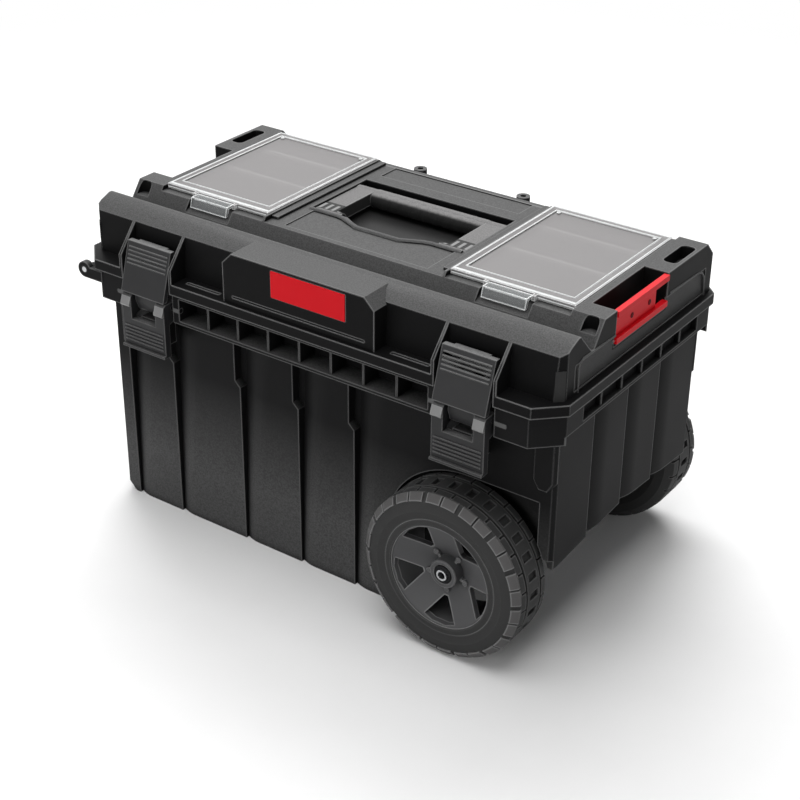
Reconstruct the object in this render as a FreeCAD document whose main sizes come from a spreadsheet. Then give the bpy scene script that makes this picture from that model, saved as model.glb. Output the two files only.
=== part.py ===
import FreeCAD, Part
import math
import os
import re
import Sketcher
from FreeCAD import Placement, Rotation, Vector

# Wheeled jobsite storage box: a tub on two wheels, a hinged lid with two clear
# organiser covers and a folding carry handle, two draw latches, a red side clip
# and a tow bail. Millimetres, +X to the wheel end, -Y to the latch side, floor at Z 0.

SIZES = {
    # Lid, from which the tub and its rim take their length and depth.
    "lid_length": 585,
    "lid_depth": 302,
    "lid_height": 69,
    "lid_wall": 3,
    "lid_corner": 9,
    "lid_flare": 3,
    "lid_ledge": 5,
    "bevel_width": 23,
    "bevel_drop": 11.4,
    "ridge_crown": 10,
    "ridge_crown_drop": 5,
    "ridge_land": 4,
    "gutter_width": 48,
    "gutter_depth": 24,
    "gutter_land": 4,
    "rear_bevel_width": 20,
    "rear_bevel_drop": 21,
    "rear_block": 32.5,
    "rear_deck_margin": 29,
    "deck_sink": 5,
    "plate_sink": 1.2,
    "plate_width": 180,
    "front_plate_margin": 3.5,
    "front_plate_ridge": 5,
    "rear_plate_margin": 29,
    "rear_plate_length": 28,
    # Flange around the foot of the lid.
    "flange_reach": 25,
    "flange_rear_reach": 17,
    "flange_end_reach": 7.5,
    "flange_thickness": 12,
    "flange_skin": 3,
    "flange_corner": 26,
    "ledge_slot_length": 44,
    "ledge_slot_width": 4,
    "ledge_slot_depth": 2,
    # Plain front panel with the red badge plate.
    "panel_width": 190,
    "panel_reach": 21,
    "panel_drop": 1.5,
    "panel_corner": 12,
    "panel_line_height": 8,
    "panel_line_depth": 1,
    "badge_width": 92,
    "badge_height": 29,
    "badge_thickness": 2,
    "badge_seat": 0.8,
    "badge_shift": 14.5,
    "badge_drop": 4,
    # Tub.
    "tub_height": 297,
    "tub_inset": 6.5,
    "tub_setback": 9,
    "tub_wall": 3.2,
    "tub_floor": 4,
    "tub_corner": 4,
    "tub_foot_chamfer": 14,
    "notch_rise": 125.5,
    "notch_lean": 14,
    "notch_reach": 186,
    "apron_drop": 10.5,
    # Flutes in the tub walls: a square edge, then a soft run back to the wall.
    # Those of the long walls are deep and wide under the rim and shallow at the foot.
    "flute_depth": 13,
    "flute_width": 46,
    "flute_foot_depth": 4,
    "flute_foot_width": 18,
    "flute_jog": 7,
    "flute_jog_height": 192,
    "first_flute": 20.5,
    "second_flute": 86.5,
    "third_flute": 182,
    "fourth_flute": 261,
    "fifth_flute": 334,
    "end_flute_pitch": 67,
    "end_flute_depth": 6,
    "end_flute_width": 30,
    # Ribbed rim of the tub.
    "rim_reach": 30,
    "rim_rear_reach": 26,
    "rim_end_reach": 10,
    "rim_band": 33,
    "rim_end_band": 24,
    "rim_lip": 4,
    "rim_web": 3,
    "rib_thickness": 2.5,
    "rib_pitch": 40,
    "parting_gap": 1,
    "seal_width": 3,
    "seal_groove": 2,
    "seal_proud": 0.7,
    # Rear hinge.
    "hinge_inset": 122,
    "hinge_stand": 8,
    "hinge_radius": 6.5,
    "hinge_pin_radius": 3,
    "hinge_leaf": 40,
    "hinge_ear": 16,
    "hinge_side_gap": 0.4,
    "hinge_arm": 5,
    # Draw latches.
    "latch_inset": 92.5,
    "latch_width": 60,
    "latch_side_gap": 3,
    "latch_fin": 3.5,
    "latch_fin_drop": 30,
    "latch_cheek": 9,
    "latch_stop": 22,
    "latch_pin_radius": 2.5,
    "latch_pin_depth": 3,
    "latch_pin_drop": 18,
    "draw_pin_radius": 2,
    "draw_throw": 9,
    "lever_face": 14,
    "lever_back": 7,
    "lever_crown": 7,
    "lever_length": 55,
    "lever_plate": 8,
    "lever_arm": 13,
    "lever_window": 21,
    "lever_lip": 3,
    "draw_plate": 6,
    "draw_plate_foot": 9,
    "draw_plate_rise": 53,
    "draw_plate_lean": 16,
    "draw_barrel": 4.5,
    "tongue_gap": 2,
    "tongue_recess": 5.5,
    "grip_ridge": 1.2,
    "grip_ridge_pitch": 4.2,
    "keeper_reach": 7,
    "keeper_width": 40,
    "keeper_thickness": 6,
    # Organiser wells in the lid and their clear covers.
    "cover_end_margin": 35.7,
    "cover_width": 141,
    "cover_front_margin": 77.7,
    "cover_rear_margin": 27.7,
    "cover_thickness": 5.5,
    "cover_proud": 1,
    "cover_gap": 0.4,
    "cover_barrel": 2.3,
    "cover_swing_room": 4.3,
    "cover_border": 9,
    "cover_front_border": 14,
    "cover_sink": 1.2,
    "cover_pin_radius": 1.2,
    "cover_pin_end": 2.2,
    "well_rim": 6,
    "well_depth": 45,
    "well_wall": 2.5,
    "divider_thickness": 2,
    "divider_height": 36,
    "divider_rear_margin": 41,
    "divider_spacing": 65,
    "clip_width": 50,
    "clip_length": 13,
    "clip_fall": 11,
    "clip_thickness": 3,
    "clip_stand": 2.7,
    "clip_lug": 4,
    "clip_niche_gap": 1.2,
    # Carry handle in its recess.
    "recess_width": 194,
    "recess_length": 98,
    "recess_front": 129,
    "recess_depth": 29,
    "finger_bay_width": 100,
    "finger_bay_front": 51,
    "finger_bay_reach": 13.5,
    "handle_gap": 0.5,
    "handle_barrel": 7.5,
    "handle_drop": 14.5,
    "handle_arm_width": 24,
    "handle_arm_thickness": 14,
    "handle_knuckle": 34,
    "knuckle_slot": 4,
    "knuckle_slot_pitch": 8.5,
    "knuckle_slot_depth": 3.2,
    "handle_reach": 75,
    "handle_bar_radius": 8,
    "handle_pin_radius": 3,
    "handle_pin_seat": 2.4,
    "grip_radius": 10.5,
    "grip_sleeve": 1.2,
    "grip_bump": 4,
    "grip_end_gap": 9.5,
    # End bays, and the red side clip in the one at the wheel end.
    "bay_depth": 27,
    "bay_front_margin": 94,
    "bay_rear_margin": 105,
    "bay_floor_drop": 39,
    "side_clip_gap": 0.5,
    "side_clip_height": 34,
    "side_clip_flange": 6,
    "side_clip_web": 2.5,
    "side_clip_reach": 6,
    "side_clip_proud": 1.5,
    "side_clip_notch": 20,
    "side_pin_radius": 1.5,
    "side_pin_inset": 2.5,
    "side_pin_seat": 2.4,
    "socket_width": 16,
    "socket_inset": 4,
    "socket_depth": 14,
    "socket_corner": 6,
    "front_socket_length": 18,
    "front_socket_margin": 54,
    "rear_socket_length": 47,
    "rear_socket_margin": 36,
    "end_panel_recess": 1.5,
    "end_panel_height": 30,
    "end_panel_margin": 20,
    # Eyelets on the rear edge of the lid.
    "eyelet_offset": 68,
    "eyelet_radius": 7.5,
    "eyelet_bore": 3.5,
    "eyelet_drop": 5,
    "eyelet_height": 14,
    "eyelet_bore_depth": 6,
    "eyelet_margin": 12,
    # Wheels and axle.
    "axle_inset": 100,
    "tyre_latch_gap": 38,
    "axle_radius": 6,
    "axle_bore": 4,
    "tyre_ground_gap": 0.2,
    "tyre_depth": 27.8,
    "tyre_width": 62,
    "tyre_shoulder": 9,
    "wheel_stand": 48,
    "tread_depth": 4,
    "tread_gap": 2.2,
    "tread_row": 17,
    "tread_groove": 3,
    "tread_pocket_margin": 24,
    "tread_pocket_width": 8,
    "tread_pocket_shift": 10.4,
    "wheel_band": 8,
    "wheel_band_margin": 2,
    "spoke_face": 3.5,
    "spoke_thickness": 7,
    "spoke_dish": 20,
    "spoke_width": 31,
    "spoke_root": 29.5,
    "spoke_corner_gap": 5.5,
    "spoke_crown": 16,
    "spoke_crown_gap": 1.5,
    "hub_radius": 14.5,
    "hub_face": 11,
    "hub_inner": 2,
    "running_fit": 0.05,
    "washer_thickness": 2.4,
    "washer_radius": 13,
    "retainer_radius": 10,
    "retainer_thickness": 2,
    "end_float": 0.3,
    "arch_gap": 3.2,
    "arch_end_wall": 17,
    "bracket_thickness": 8,
    "bracket_width": 60,
    "bracket_foot": 17,
    # Tow bail at the other end.
    "tow_rod_radius": 3,
    "tow_rod_drop": 6,
    "tow_rod_stand": 8,
    "tow_ear_radius": 9,
    "tow_ear_thickness": 7,
    "tow_ear_setback": 1,
    "tow_link": 26,
    "tow_barrel": 6.2,
    "tow_arm_width": 12,
    "tow_arm_thickness": 8,
    "tow_width": 204,
    "tow_length": 216,
    "tow_grip_radius": 7.5,
    "tow_bar_radius": 5,
    "tow_grip_length": 120,
}

FLUTE_SHARES = (0.2, 0.4, 0.6, 0.8)
FLUTES = ("first_flute", "second_flute", "third_flute", "fourth_flute", "fifth_flute")
TREAD_BLOCKS = 28
SPOKES = 5
SPOKE_HALF_ANGLE = math.pi / SPOKES
WINDOW_TURN = 17.5
GRIP_RIDGES = 5
GRIP_BUMPS = 6
KNUCKLE_SLOTS = 3
END_FLUTES = 3
SIDES = {"left": -1, "right": 1}
ENDS = {"front": -1, "rear": 1}

# Places that several pieces share, as formulas of the sizes above.
LID_END = "(lid_length / 2)"
LID_SIDE = "(lid_depth / 2)"
FLANGE_LOW = "(tub_height + parting_gap)"
FLANGE_TOP = "(tub_height + parting_gap + flange_thickness)"
LID_TOP = "(tub_height + parting_gap + lid_height)"
FLANGE_FRONT = f"({LID_SIDE} + flange_reach)"
FLANGE_REAR = f"({LID_SIDE} + flange_rear_reach)"
TUB_END = f"({LID_END} - tub_inset)"
TUB_SIDE = f"({LID_SIDE} - tub_setback)"
RIM_FRONT = f"({TUB_SIDE} + rim_reach)"
RIM_REAR = f"({TUB_SIDE} + rim_rear_reach)"
RIM_LOW = "(tub_height - rim_band)"
LATCH_X = f"({LID_END} - latch_inset)"
LATCH_BAY = "(latch_width / 2 + latch_side_gap)"
LATCH_PIN_Y = f"(latch_pin_depth - {RIM_FRONT})"
LATCH_PIN_Z = "(tub_height - latch_pin_drop)"
LEVER_FACE = f"({LATCH_PIN_Y} - lever_face)"
LEVER_REAR = f"({LEVER_FACE} + lever_plate)"
LEVER_FOOT = f"({LATCH_PIN_Z} - lever_length)"
DRAW_PIN_Z = f"({LATCH_PIN_Z} - draw_throw)"
PLATE_FOOT = f"({LATCH_PIN_Z} + draw_plate_foot)"
PLATE_TOP = f"({PLATE_FOOT} + draw_plate_rise)"
HINGE_X = f"({LID_END} - hinge_inset)"
HINGE_Y = f"({FLANGE_REAR} + hinge_stand)"
HINGE_Z = "(tub_height + parting_gap / 2)"
COVER_OUT = f"({LID_END} - cover_end_margin)"
COVER_IN = f"({LID_END} - cover_end_margin - cover_width)"
COVER_MID = f"({LID_END} - cover_end_margin - cover_width / 2)"
COVER_FRONT = f"(cover_front_margin - {LID_SIDE})"
COVER_REAR = f"({LID_SIDE} - cover_rear_margin)"
COVER_TOP = f"({LID_TOP} + cover_proud)"
COVER_LOW = f"({LID_TOP} + cover_proud - cover_thickness)"
COVER_PIN_Y = f"({COVER_REAR} - cover_barrel)"
COVER_PIN_Z = f"({COVER_LOW} + cover_barrel)"
WELL_FLOOR = f"({LID_TOP} - well_depth)"
CLIP_PIN_Y = f"({COVER_FRONT} - clip_stand)"
RECESS_FRONT = f"(recess_front - {LID_SIDE})"
RECESS_REAR = f"(recess_front + recess_length - {LID_SIDE})"
RECESS_FLOOR = f"({LID_TOP} - recess_depth)"
HANDLE_Y = f"({RECESS_FRONT} + handle_gap + handle_barrel)"
HANDLE_Z = f"({LID_TOP} - handle_drop)"
HANDLE_OUT = "(recess_width / 2 - handle_gap)"
BAR_Y = f"({HANDLE_Y} + handle_reach)"
BAY_IN = f"({LID_END} - bay_depth)"
BAY_FRONT = f"(bay_front_margin - {LID_SIDE})"
BAY_REAR = f"({LID_SIDE} - bay_rear_margin)"
BAY_FLOOR = f"({LID_TOP} - bay_floor_drop)"
SIDE_TOP = f"({LID_TOP} - panel_drop)"
SIDE_LOW = f"({SIDE_TOP} - side_clip_height)"
SIDE_OUT = f"({LID_END} + side_clip_proud)"
SIDE_IN = f"({SIDE_OUT} - side_clip_reach)"
SIDE_PIN_X = f"({SIDE_IN} + side_pin_inset)"
SIDE_PIN_Z = f"({SIDE_LOW} + side_clip_flange / 2)"
GUTTER = f"({LID_SIDE} - bevel_width - ridge_land)"
DECK_FRONT = f"({LID_SIDE} - bevel_width - gutter_width)"
DECK_Z = f"({LID_TOP} - deck_sink)"
AXLE_X = f"({TUB_END} - axle_inset)"
AXLE_Z = f"(({LEVER_FOOT} - tyre_latch_gap) / 2)"
TYRE_RADIUS = f"({AXLE_Z} - tyre_ground_gap)"
WHEEL_RADIUS = f"({TYRE_RADIUS} - tyre_depth)"
WHEEL_FACE = f"({TUB_SIDE} + wheel_stand)"
HUB_FACE = f"({WHEEL_FACE} - hub_face)"
HUB_INNER = f"({WHEEL_FACE} - tyre_width - hub_inner)"
ARCH_BACK = f"({HUB_INNER} - washer_thickness - 2 * end_float)"
ARCH_RADIUS = f"({TYRE_RADIUS} + arch_gap)"
ARCH_TOP = f"({AXLE_Z} + {ARCH_RADIUS})"
NOTCH_START = f"({TUB_END} - notch_reach)"
TOW_X = f"(0 - {TUB_END} - tow_rod_stand)"
TOW_Z = "(tub_height - tow_rod_drop)"
TOW_EAR_OUT = f"({RIM_FRONT} + tow_ear_setback)"
TOW_FOOT = f"({TOW_Z} - tow_length)"

doc = FreeCAD.newDocument("storage_box")
sheet = doc.addObject("Spreadsheet::Sheet", "sizes")
for row, (alias, number) in enumerate(SIZES.items(), start=1):
    sheet.set(f"A{row}", alias.replace("_", " "))
    sheet.set(f"B{row}", str(number))
    sheet.setAlias(f"B{row}", alias)
doc.recompute()

AXIS_TURN = {
    "X": Rotation(Vector(0, 1, 0), 90),
    "Y": Rotation(Vector(1, 0, 0), -90),
    "Z": Rotation(),
}
# For each sketch plane: its turn, the axis it is pushed along, and that direction.
PLANES = {
    "XY": (Rotation(), "z", Vector(0, 0, 1)),
    "XZ": (Rotation(Vector(1, 0, 0), 90), "y", Vector(0, 1, 0)),
    "YZ": (Rotation(Vector(1, 1, 1), 120), "x", Vector(1, 0, 0)),
}
MIRROR_NORMAL = {"X": Vector(1, 0, 0), "Y": Vector(0, 1, 0)}
pieces = {}


def formula(text):
    """Return the text with each size name written as a cell of the sheet."""
    return re.sub(r"[a-z][a-z_]*[a-z]", lambda match: "sizes." + match.group(), str(text))


def measure(text):
    """Return the number that a formula of sizes gives now."""
    return float(sheet.evalExpression(formula(text)))


def drive(item, **settings):
    """Bind properties of a document object to formulas of sizes."""
    for name, text in settings.items():
        item.setExpression(name, formula(text))


def place(item, spot):
    """Bind an object's position to three formulas."""
    for axis, text in zip("xyz", spot):
        item.setExpression(f"Placement.Base.{axis}", formula(text))


def box(name, low, high):
    """Make a block between two corners."""
    item = doc.addObject("Part::Box", name)
    place(item, low)
    spans = [f"({top}) - ({bottom})" for bottom, top in zip(low, high)]
    drive(item, Length=spans[0], Width=spans[1], Height=spans[2])
    return item


def rod(name, axis, start, radius, length):
    """Make a cylinder from the middle of its first face along an axis."""
    item = doc.addObject("Part::Cylinder", name)
    item.Placement = Placement(Vector(), AXIS_TURN[axis])
    place(item, start)
    drive(item, Radius=radius, Height=length)
    return item


def outline(sketch, points):
    """Draw a closed outline through points whose coordinates are formulas."""
    spots = [Vector(measure(across), measure(up), 0) for across, up in points]
    count = len(spots)
    for index in range(count):
        sketch.addGeometry(Part.LineSegment(spots[index], spots[(index + 1) % count]))
    for index in range(count):
        sketch.addConstraint(Sketcher.Constraint("Coincident", index, 2, (index + 1) % count, 1))
    for index, (across, up) in enumerate(points):
        for kind, text in (("DistanceX", across), ("DistanceY", up)):
            limit = Sketcher.Constraint(kind, -1, 1, index, 1, measure(text))
            number = sketch.addConstraint(limit)
            sketch.setExpression(f"Constraints[{number}]", formula(text))


def prism(name, plane, points, low, high):
    """Push an outline drawn on a plane from one level to another."""
    turn, axis, direction = PLANES[plane]
    sketch = doc.addObject("Sketcher::SketchObject", name + "_outline")
    sketch.Placement = Placement(Vector(), turn)
    outline(sketch, points)
    sketch.setExpression(f"Placement.Base.{axis}", formula(low))
    item = doc.addObject("Part::Extrusion", name)
    item.Base = sketch
    item.DirMode = "Custom"
    item.Dir = direction
    item.Solid = True
    drive(item, LengthFwd=f"({high}) - ({low})")
    return item


def loft(name, low_points, low, high_points, high):
    """Join an outline at one height to another above it with straight lines."""
    sections = []
    for label, points, level in (("low", low_points, low), ("high", high_points, high)):
        sketch = doc.addObject("Sketcher::SketchObject", f"{name}_{label}")
        outline(sketch, points)
        sketch.setExpression("Placement.Base.z", formula(level))
        sections.append(sketch)
    item = doc.addObject("Part::Loft", name)
    item.Sections = sections
    item.Solid = True
    item.Ruled = True
    return item


def fuse(name, *items):
    """Join objects into one."""
    item = doc.addObject("Part::MultiFuse", name)
    item.Shapes = list(items)
    return item


def cut(name, base, *tools):
    """Take one or more tools away from a base."""
    item = doc.addObject("Part::Cut", name)
    item.Base = base
    item.Tool = tools[0] if len(tools) == 1 else fuse(name + "_tools", *tools)
    return item


def common(name, *items):
    """Keep what objects share."""
    item = doc.addObject("Part::MultiCommon", name)
    item.Shapes = list(items)
    return item


def mirrored(name, source, normal):
    """Copy an object across the middle plane with this normal."""
    item = doc.addObject("Part::Mirroring", name)
    item.Source = source
    item.Normal = MIRROR_NORMAL[normal]
    return item


def rounded_pocket(name, low, high, corner):
    """Return the blocks and rods that make up a block with rounded upright corners."""
    parts = [
        box(name + "_long", (f"{low[0]} + {corner}", low[1], low[2]),
            (f"{high[0]} - {corner}", high[1], high[2])),
        box(name + "_wide", (low[0], f"{low[1]} + {corner}", low[2]),
            (high[0], f"{high[1]} - {corner}", high[2])),
    ]
    for across in (f"{low[0]} + {corner}", f"{high[0]} - {corner}"):
        for along in (f"{low[1]} + {corner}", f"{high[1]} - {corner}"):
            parts.append(rod(f"{name}_corner_{len(parts)}", "Z", (across, along, low[2]), corner,
                             f"({high[2]}) - ({low[2]})"))
    return parts


def cropped_plan(end, front, rear, corner):
    """Return a plan outline, a rectangle with cropped corners."""
    return [
        (f"{corner} - {end}", f"0 - {front}"),
        (f"{end} - {corner}", f"0 - {front}"),
        (end, f"{corner} - {front}"),
        (end, f"{rear} - {corner}"),
        (f"{end} - {corner}", rear),
        (f"{corner} - {end}", rear),
        (f"0 - {end}", f"{rear} - {corner}"),
        (f"0 - {end}", f"{corner} - {front}"),
    ]


def keep(name, item):
    """Name a finished sub-part, whose label is the name of its file."""
    item.Label = name
    pieces[name] = item
    return item


def both_sides(name, make):
    """Make a piece on the right and its mirror image on the left."""
    right = keep(name + "_right", make(name + "_right"))
    keep(name + "_left", mirrored(name + "_left", right, "X"))


def flute_section(edge, depth, width):
    """Return the plan of a flute: square at its edge, then curving out to the wall."""
    wall = f"0 - {TUB_SIDE}"
    curve = [(f"{edge} + {share} * {width}", f"{wall} + {(1 - share) ** 2} * {depth}")
             for share in FLUTE_SHARES]
    return [
        (f"{edge} - 2 * flute_jog", f"{wall} - flute_foot_depth"),
        (f"{edge} - 2 * flute_jog", f"{wall} + {depth}"),
        (edge, f"{wall} + {depth}"),
        *curve,
        (f"{edge} + {width}", wall),
        (f"{edge} + {width}", f"{wall} - flute_foot_depth"),
    ]


def flute_tools():
    """Return the tools that flute the front wall, with the ridges that close them off inside."""
    foot = "(0 - tub_floor)"
    tools = []
    ridges = []
    for flute in FLUTES:
        edge = f"({flute} - {TUB_END})"
        window = prism(flute + "_window", "XZ", [
            (edge, foot),
            (f"{edge} + flute_width", foot),
            (f"{edge} + flute_width", RIM_LOW),
            (f"{edge} - flute_jog", RIM_LOW),
            (f"{edge} - flute_jog", "flute_jog_height + flute_jog"),
            (edge, "flute_jog_height"),
        ], f"0 - {TUB_SIDE} - flute_foot_depth", f"flute_depth - {TUB_SIDE}")
        hollow = loft(flute + "_hollow",
                      flute_section(edge, "flute_foot_depth", "flute_foot_width"), foot,
                      flute_section(edge, "flute_depth", "flute_width"), RIM_LOW)
        tools.append(common(flute + "_tool", window, hollow))
        back = f"({edge} - flute_jog - tub_wall)"
        foot_face = f"(flute_foot_depth + tub_wall - {TUB_SIDE})"
        rim_face = f"(flute_depth + tub_wall - {TUB_SIDE})"
        ridges.append(loft(flute + "_ridge", [
            (back, f"0 - {TUB_SIDE}"),
            (f"{edge} + flute_foot_width", f"0 - {TUB_SIDE}"),
            (f"{edge} + flute_foot_width / 2", foot_face),
            (back, foot_face),
        ], foot, [
            (back, f"0 - {TUB_SIDE}"),
            (f"{edge} + flute_width", f"0 - {TUB_SIDE}"),
            (f"{edge} + flute_width / 2", rim_face),
            (back, rim_face),
        ], f"({RIM_LOW} + tub_wall)"))
    return fuse("front_flutes", *tools), fuse("front_flute_ridges", *ridges)


def end_flute_tools():
    """Return the tools that flute the wheel end's wall, with the ridges that close them off."""
    squares = "(end_flute_width * end_flute_width + end_flute_depth * end_flute_depth)"
    run_radius = f"{squares} / (2 * end_flute_depth)"
    tools = []
    ridges = []
    for index in range(END_FLUTES):
        edge = f"({index - 1} * end_flute_pitch - flute_jog)"
        window = box(f"end_flute_{index}_window",
                     (f"{TUB_END} - end_flute_depth", edge, "0 - tub_floor"),
                     (f"{TUB_END} + end_flute_depth", f"{edge} + end_flute_width",
                      "tub_height - rim_end_band"))
        run = rod(f"end_flute_{index}_run", "Z",
                  (f"{TUB_END} - {run_radius}", f"{edge} + end_flute_width", "0 - 2 * tub_floor"),
                  run_radius, "tub_height + 2 * tub_floor")
        tools.append(cut(f"end_flute_{index}_tool", window, run))
        ridges.append(box(f"end_flute_{index}_ridge",
                          (f"{TUB_END} - end_flute_depth - tub_wall", f"{edge} - tub_wall", "0"),
                          (TUB_END, f"{edge} + end_flute_width",
                           "tub_height - rim_end_band + tub_wall")))
    return fuse("end_flutes", *tools), fuse("end_flute_ridges", *ridges)


def wheel_recess(name, margin, end):
    """Return the room for the front wheel up to an end, grown by a margin for its housing."""
    back = f"({margin} - {ARCH_BACK})"
    depth = f"{back} + {TUB_SIDE} + rim_reach"
    arch = rod(name + "_arch", "Y", (AXLE_X, f"0 - {TUB_SIDE} - rim_reach", AXLE_Z),
               f"{ARCH_RADIUS} + {margin}", depth)
    bay = box(name + "_bay",
              (AXLE_X, f"0 - {TUB_SIDE} - rim_reach", "0 - tub_floor"),
              (end, back, f"{ARCH_TOP} + {margin}"))
    return fuse(name, arch, bay)


def build_tub():
    """Make the moulded tub: shell, ribbed rim, wheel arches, hinge leaves and tow ears."""
    plan = prism("tub_plan", "XY", cropped_plan(TUB_END, TUB_SIDE, TUB_SIDE, "tub_corner"),
                 "0", "tub_height")
    side = prism("tub_side", "XZ", [
        (f"0 - {TUB_END}", "tub_height"),
        (f"0 - {TUB_END}", "tub_foot_chamfer"),
        (f"tub_foot_chamfer - {TUB_END}", "0"),
        (NOTCH_START, "0"),
        (f"{NOTCH_START} + notch_lean", "notch_rise"),
        (TUB_END, "notch_rise"),
        (TUB_END, "tub_height"),
    ], f"0 - {TUB_SIDE}", TUB_SIDE)
    blank = common("tub_blank", plan, side)
    apron_side = f"({TUB_SIDE} - tub_corner)"
    apron = prism("tub_apron", "YZ", [
        (f"0 - {apron_side}", "notch_rise - apron_drop"),
        ("0", "notch_rise"),
        (apron_side, "notch_rise - apron_drop"),
        (apron_side, "notch_rise + tub_floor"),
        (f"0 - {apron_side}", "notch_rise + tub_floor"),
    ], f"{TUB_END} - end_flute_depth - tub_wall", TUB_END)

    rim_end = f"({TUB_END} + rim_end_reach)"
    rim = prism("rim_ring", "XY", cropped_plan(rim_end, RIM_FRONT, RIM_REAR, "flange_corner"),
                RIM_LOW, "tub_height")
    channel_low = f"{RIM_LOW} + rim_lip"
    channel_top = "tub_height - rim_lip"
    channel_end = f"({TUB_END} - flange_corner)"
    front_end = f"({LATCH_X} + {LATCH_BAY})"
    front_channel = box("rim_front_channel",
                        (f"0 - {front_end}", f"0 - {RIM_FRONT} - rim_lip", channel_low),
                        (front_end, f"0 - {TUB_SIDE} - rim_web", channel_top))
    rear_channel = box("rim_rear_channel",
                       (f"0 - {channel_end}", f"{TUB_SIDE} + rim_web", channel_low),
                       (channel_end, f"{RIM_REAR} + rim_lip", channel_top))
    end_skirt = box("rim_end_skirt",
                    (TUB_END, f"flange_corner - {RIM_FRONT}", f"{RIM_LOW} - rim_lip"),
                    (f"{rim_end} + rim_lip", f"{RIM_REAR} - flange_corner", "tub_height - rim_end_band"))
    end_channel = box("rim_end_channel",
                      (f"{TUB_END} + rim_web", f"flange_corner - {TUB_SIDE}",
                       "tub_height - rim_end_band + rim_lip"),
                      (f"{rim_end} + rim_lip", f"{TUB_SIDE} - flange_corner", channel_top))
    bail_bay = box("rim_bail_bay",
                   (f"0 - {rim_end} - rim_lip", f"flange_corner - {TUB_SIDE}", f"{RIM_LOW} - rim_lip"),
                   (f"0 - {TUB_END}", f"{TUB_SIDE} - flange_corner", "tub_height + rim_lip"))

    ribs = []
    rib_count = int(measure(f"({LATCH_X} - {LATCH_BAY} - latch_cheek) / rib_pitch"))
    for index in range(-rib_count, rib_count + 1):
        middle = f"({index} * rib_pitch)"
        ribs.append(box(f"front_rib_{index + rib_count}",
                        (f"{middle} - rib_thickness / 2", f"rib_thickness - {RIM_FRONT}", RIM_LOW),
                        (f"{middle} + rib_thickness / 2", f"tub_wall - {TUB_SIDE}", "tub_height")))
    rear_count = int(measure(f"{channel_end} / rib_pitch"))
    for index in range(-rear_count, rear_count + 1):
        middle = f"({index} * rib_pitch)"
        ribs.append(box(f"rear_rib_{index + rear_count}",
                        (f"{middle} - rib_thickness / 2", f"{TUB_SIDE} - tub_wall", RIM_LOW),
                        (f"{middle} + rib_thickness / 2", f"{RIM_REAR} - rib_thickness", "tub_height")))
    end_count = int(measure(f"({TUB_SIDE} - flange_corner) / rib_pitch"))
    for index in range(-end_count, end_count + 1):
        middle = f"({index} * rib_pitch)"
        ribs.append(box(f"end_rib_{index + end_count}",
                        (TUB_END, f"{middle} - rib_thickness / 2", "tub_height - rim_end_band"),
                        (f"{rim_end} - rib_thickness / 2", f"{middle} + rib_thickness / 2", "tub_height")))

    stops = []
    pockets = []
    cheeks = []
    for side_name, sign in SIDES.items():
        middle = f"({sign} * {LATCH_X})"
        stops.append(box(f"latch_stop_{side_name}",
                         (f"{middle} - latch_stop / 2", f"{LEVER_REAR} + end_float", LEVER_FOOT),
                         (f"{middle} + latch_stop / 2", f"flute_depth + tub_wall - {TUB_SIDE}", RIM_LOW)))
        pockets.append(box(f"latch_pocket_{side_name}",
                           (f"{middle} - {LATCH_BAY}", f"0 - {RIM_FRONT} - rim_lip", f"{RIM_LOW} - rim_lip"),
                           (f"{middle} + {LATCH_BAY}", f"0 - {TUB_SIDE} - rim_web", "tub_height + rim_lip")))
        for hand in (-1, 1):
            inner = f"({middle} + {hand} * {LATCH_BAY})"
            outer = f"({middle} + {hand} * ({LATCH_BAY} + latch_cheek))"
            low, high = (outer, inner) if hand < 0 else (inner, outer)
            cheeks.append(box(f"latch_cheek_{side_name}_{hand + 1}",
                              (low, f"0 - {RIM_FRONT}", RIM_LOW),
                              (high, f"tub_wall - {TUB_SIDE}", "tub_height")))

    leaves = []
    ears = []
    holes = []
    for side_name, sign in SIDES.items():
        middle = f"({sign} * {HINGE_X})"
        leaves.append(rod(f"hinge_leaf_{side_name}", "X",
                          (f"{middle} - hinge_leaf / 2", HINGE_Y, HINGE_Z), "hinge_radius", "hinge_leaf"))
        leaves.append(box(f"hinge_leaf_arm_{side_name}",
                          (f"{middle} - hinge_leaf / 2", f"{RIM_REAR} - rim_lip",
                           f"{HINGE_Z} - hinge_radius"),
                          (f"{middle} + hinge_leaf / 2", HINGE_Y,
                           f"{HINGE_Z} - hinge_radius + hinge_arm")))
        holes.append(rod(f"hinge_leaf_bore_{side_name}", "X",
                         (f"{middle} - hinge_leaf", HINGE_Y, HINGE_Z), "hinge_pin_radius",
                         "2 * hinge_leaf"))
        latch = f"({sign} * {LATCH_X})"
        holes.append(rod(f"latch_pin_hole_{side_name}", "X",
                         (f"{latch} - {LATCH_BAY} - latch_cheek - rim_lip", LATCH_PIN_Y, LATCH_PIN_Z),
                         "latch_pin_radius", f"2 * ({LATCH_BAY} + latch_cheek + rim_lip)"))
    for end_name, sign in ENDS.items():
        inner = f"({sign} * ({TOW_EAR_OUT} - tow_ear_thickness))"
        outer = f"({sign} * {TOW_EAR_OUT})"
        low, high = (outer, inner) if sign < 0 else (inner, outer)
        ears.append(rod(f"tow_ear_{end_name}", "Y", (TOW_X, low, TOW_Z), "tow_ear_radius",
                        "tow_ear_thickness"))
        link_in = f"({sign} * ({TOW_EAR_OUT} - 2 * tow_ear_thickness))"
        low, high = (outer, link_in) if sign < 0 else (link_in, outer)
        ears.append(box(f"tow_ear_link_{end_name}",
                        (TOW_X, low, f"{TOW_Z} - tow_ear_radius"),
                        (f"{TOW_X} + tow_link", high, "tub_height - rim_lip / 2")))
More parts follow.
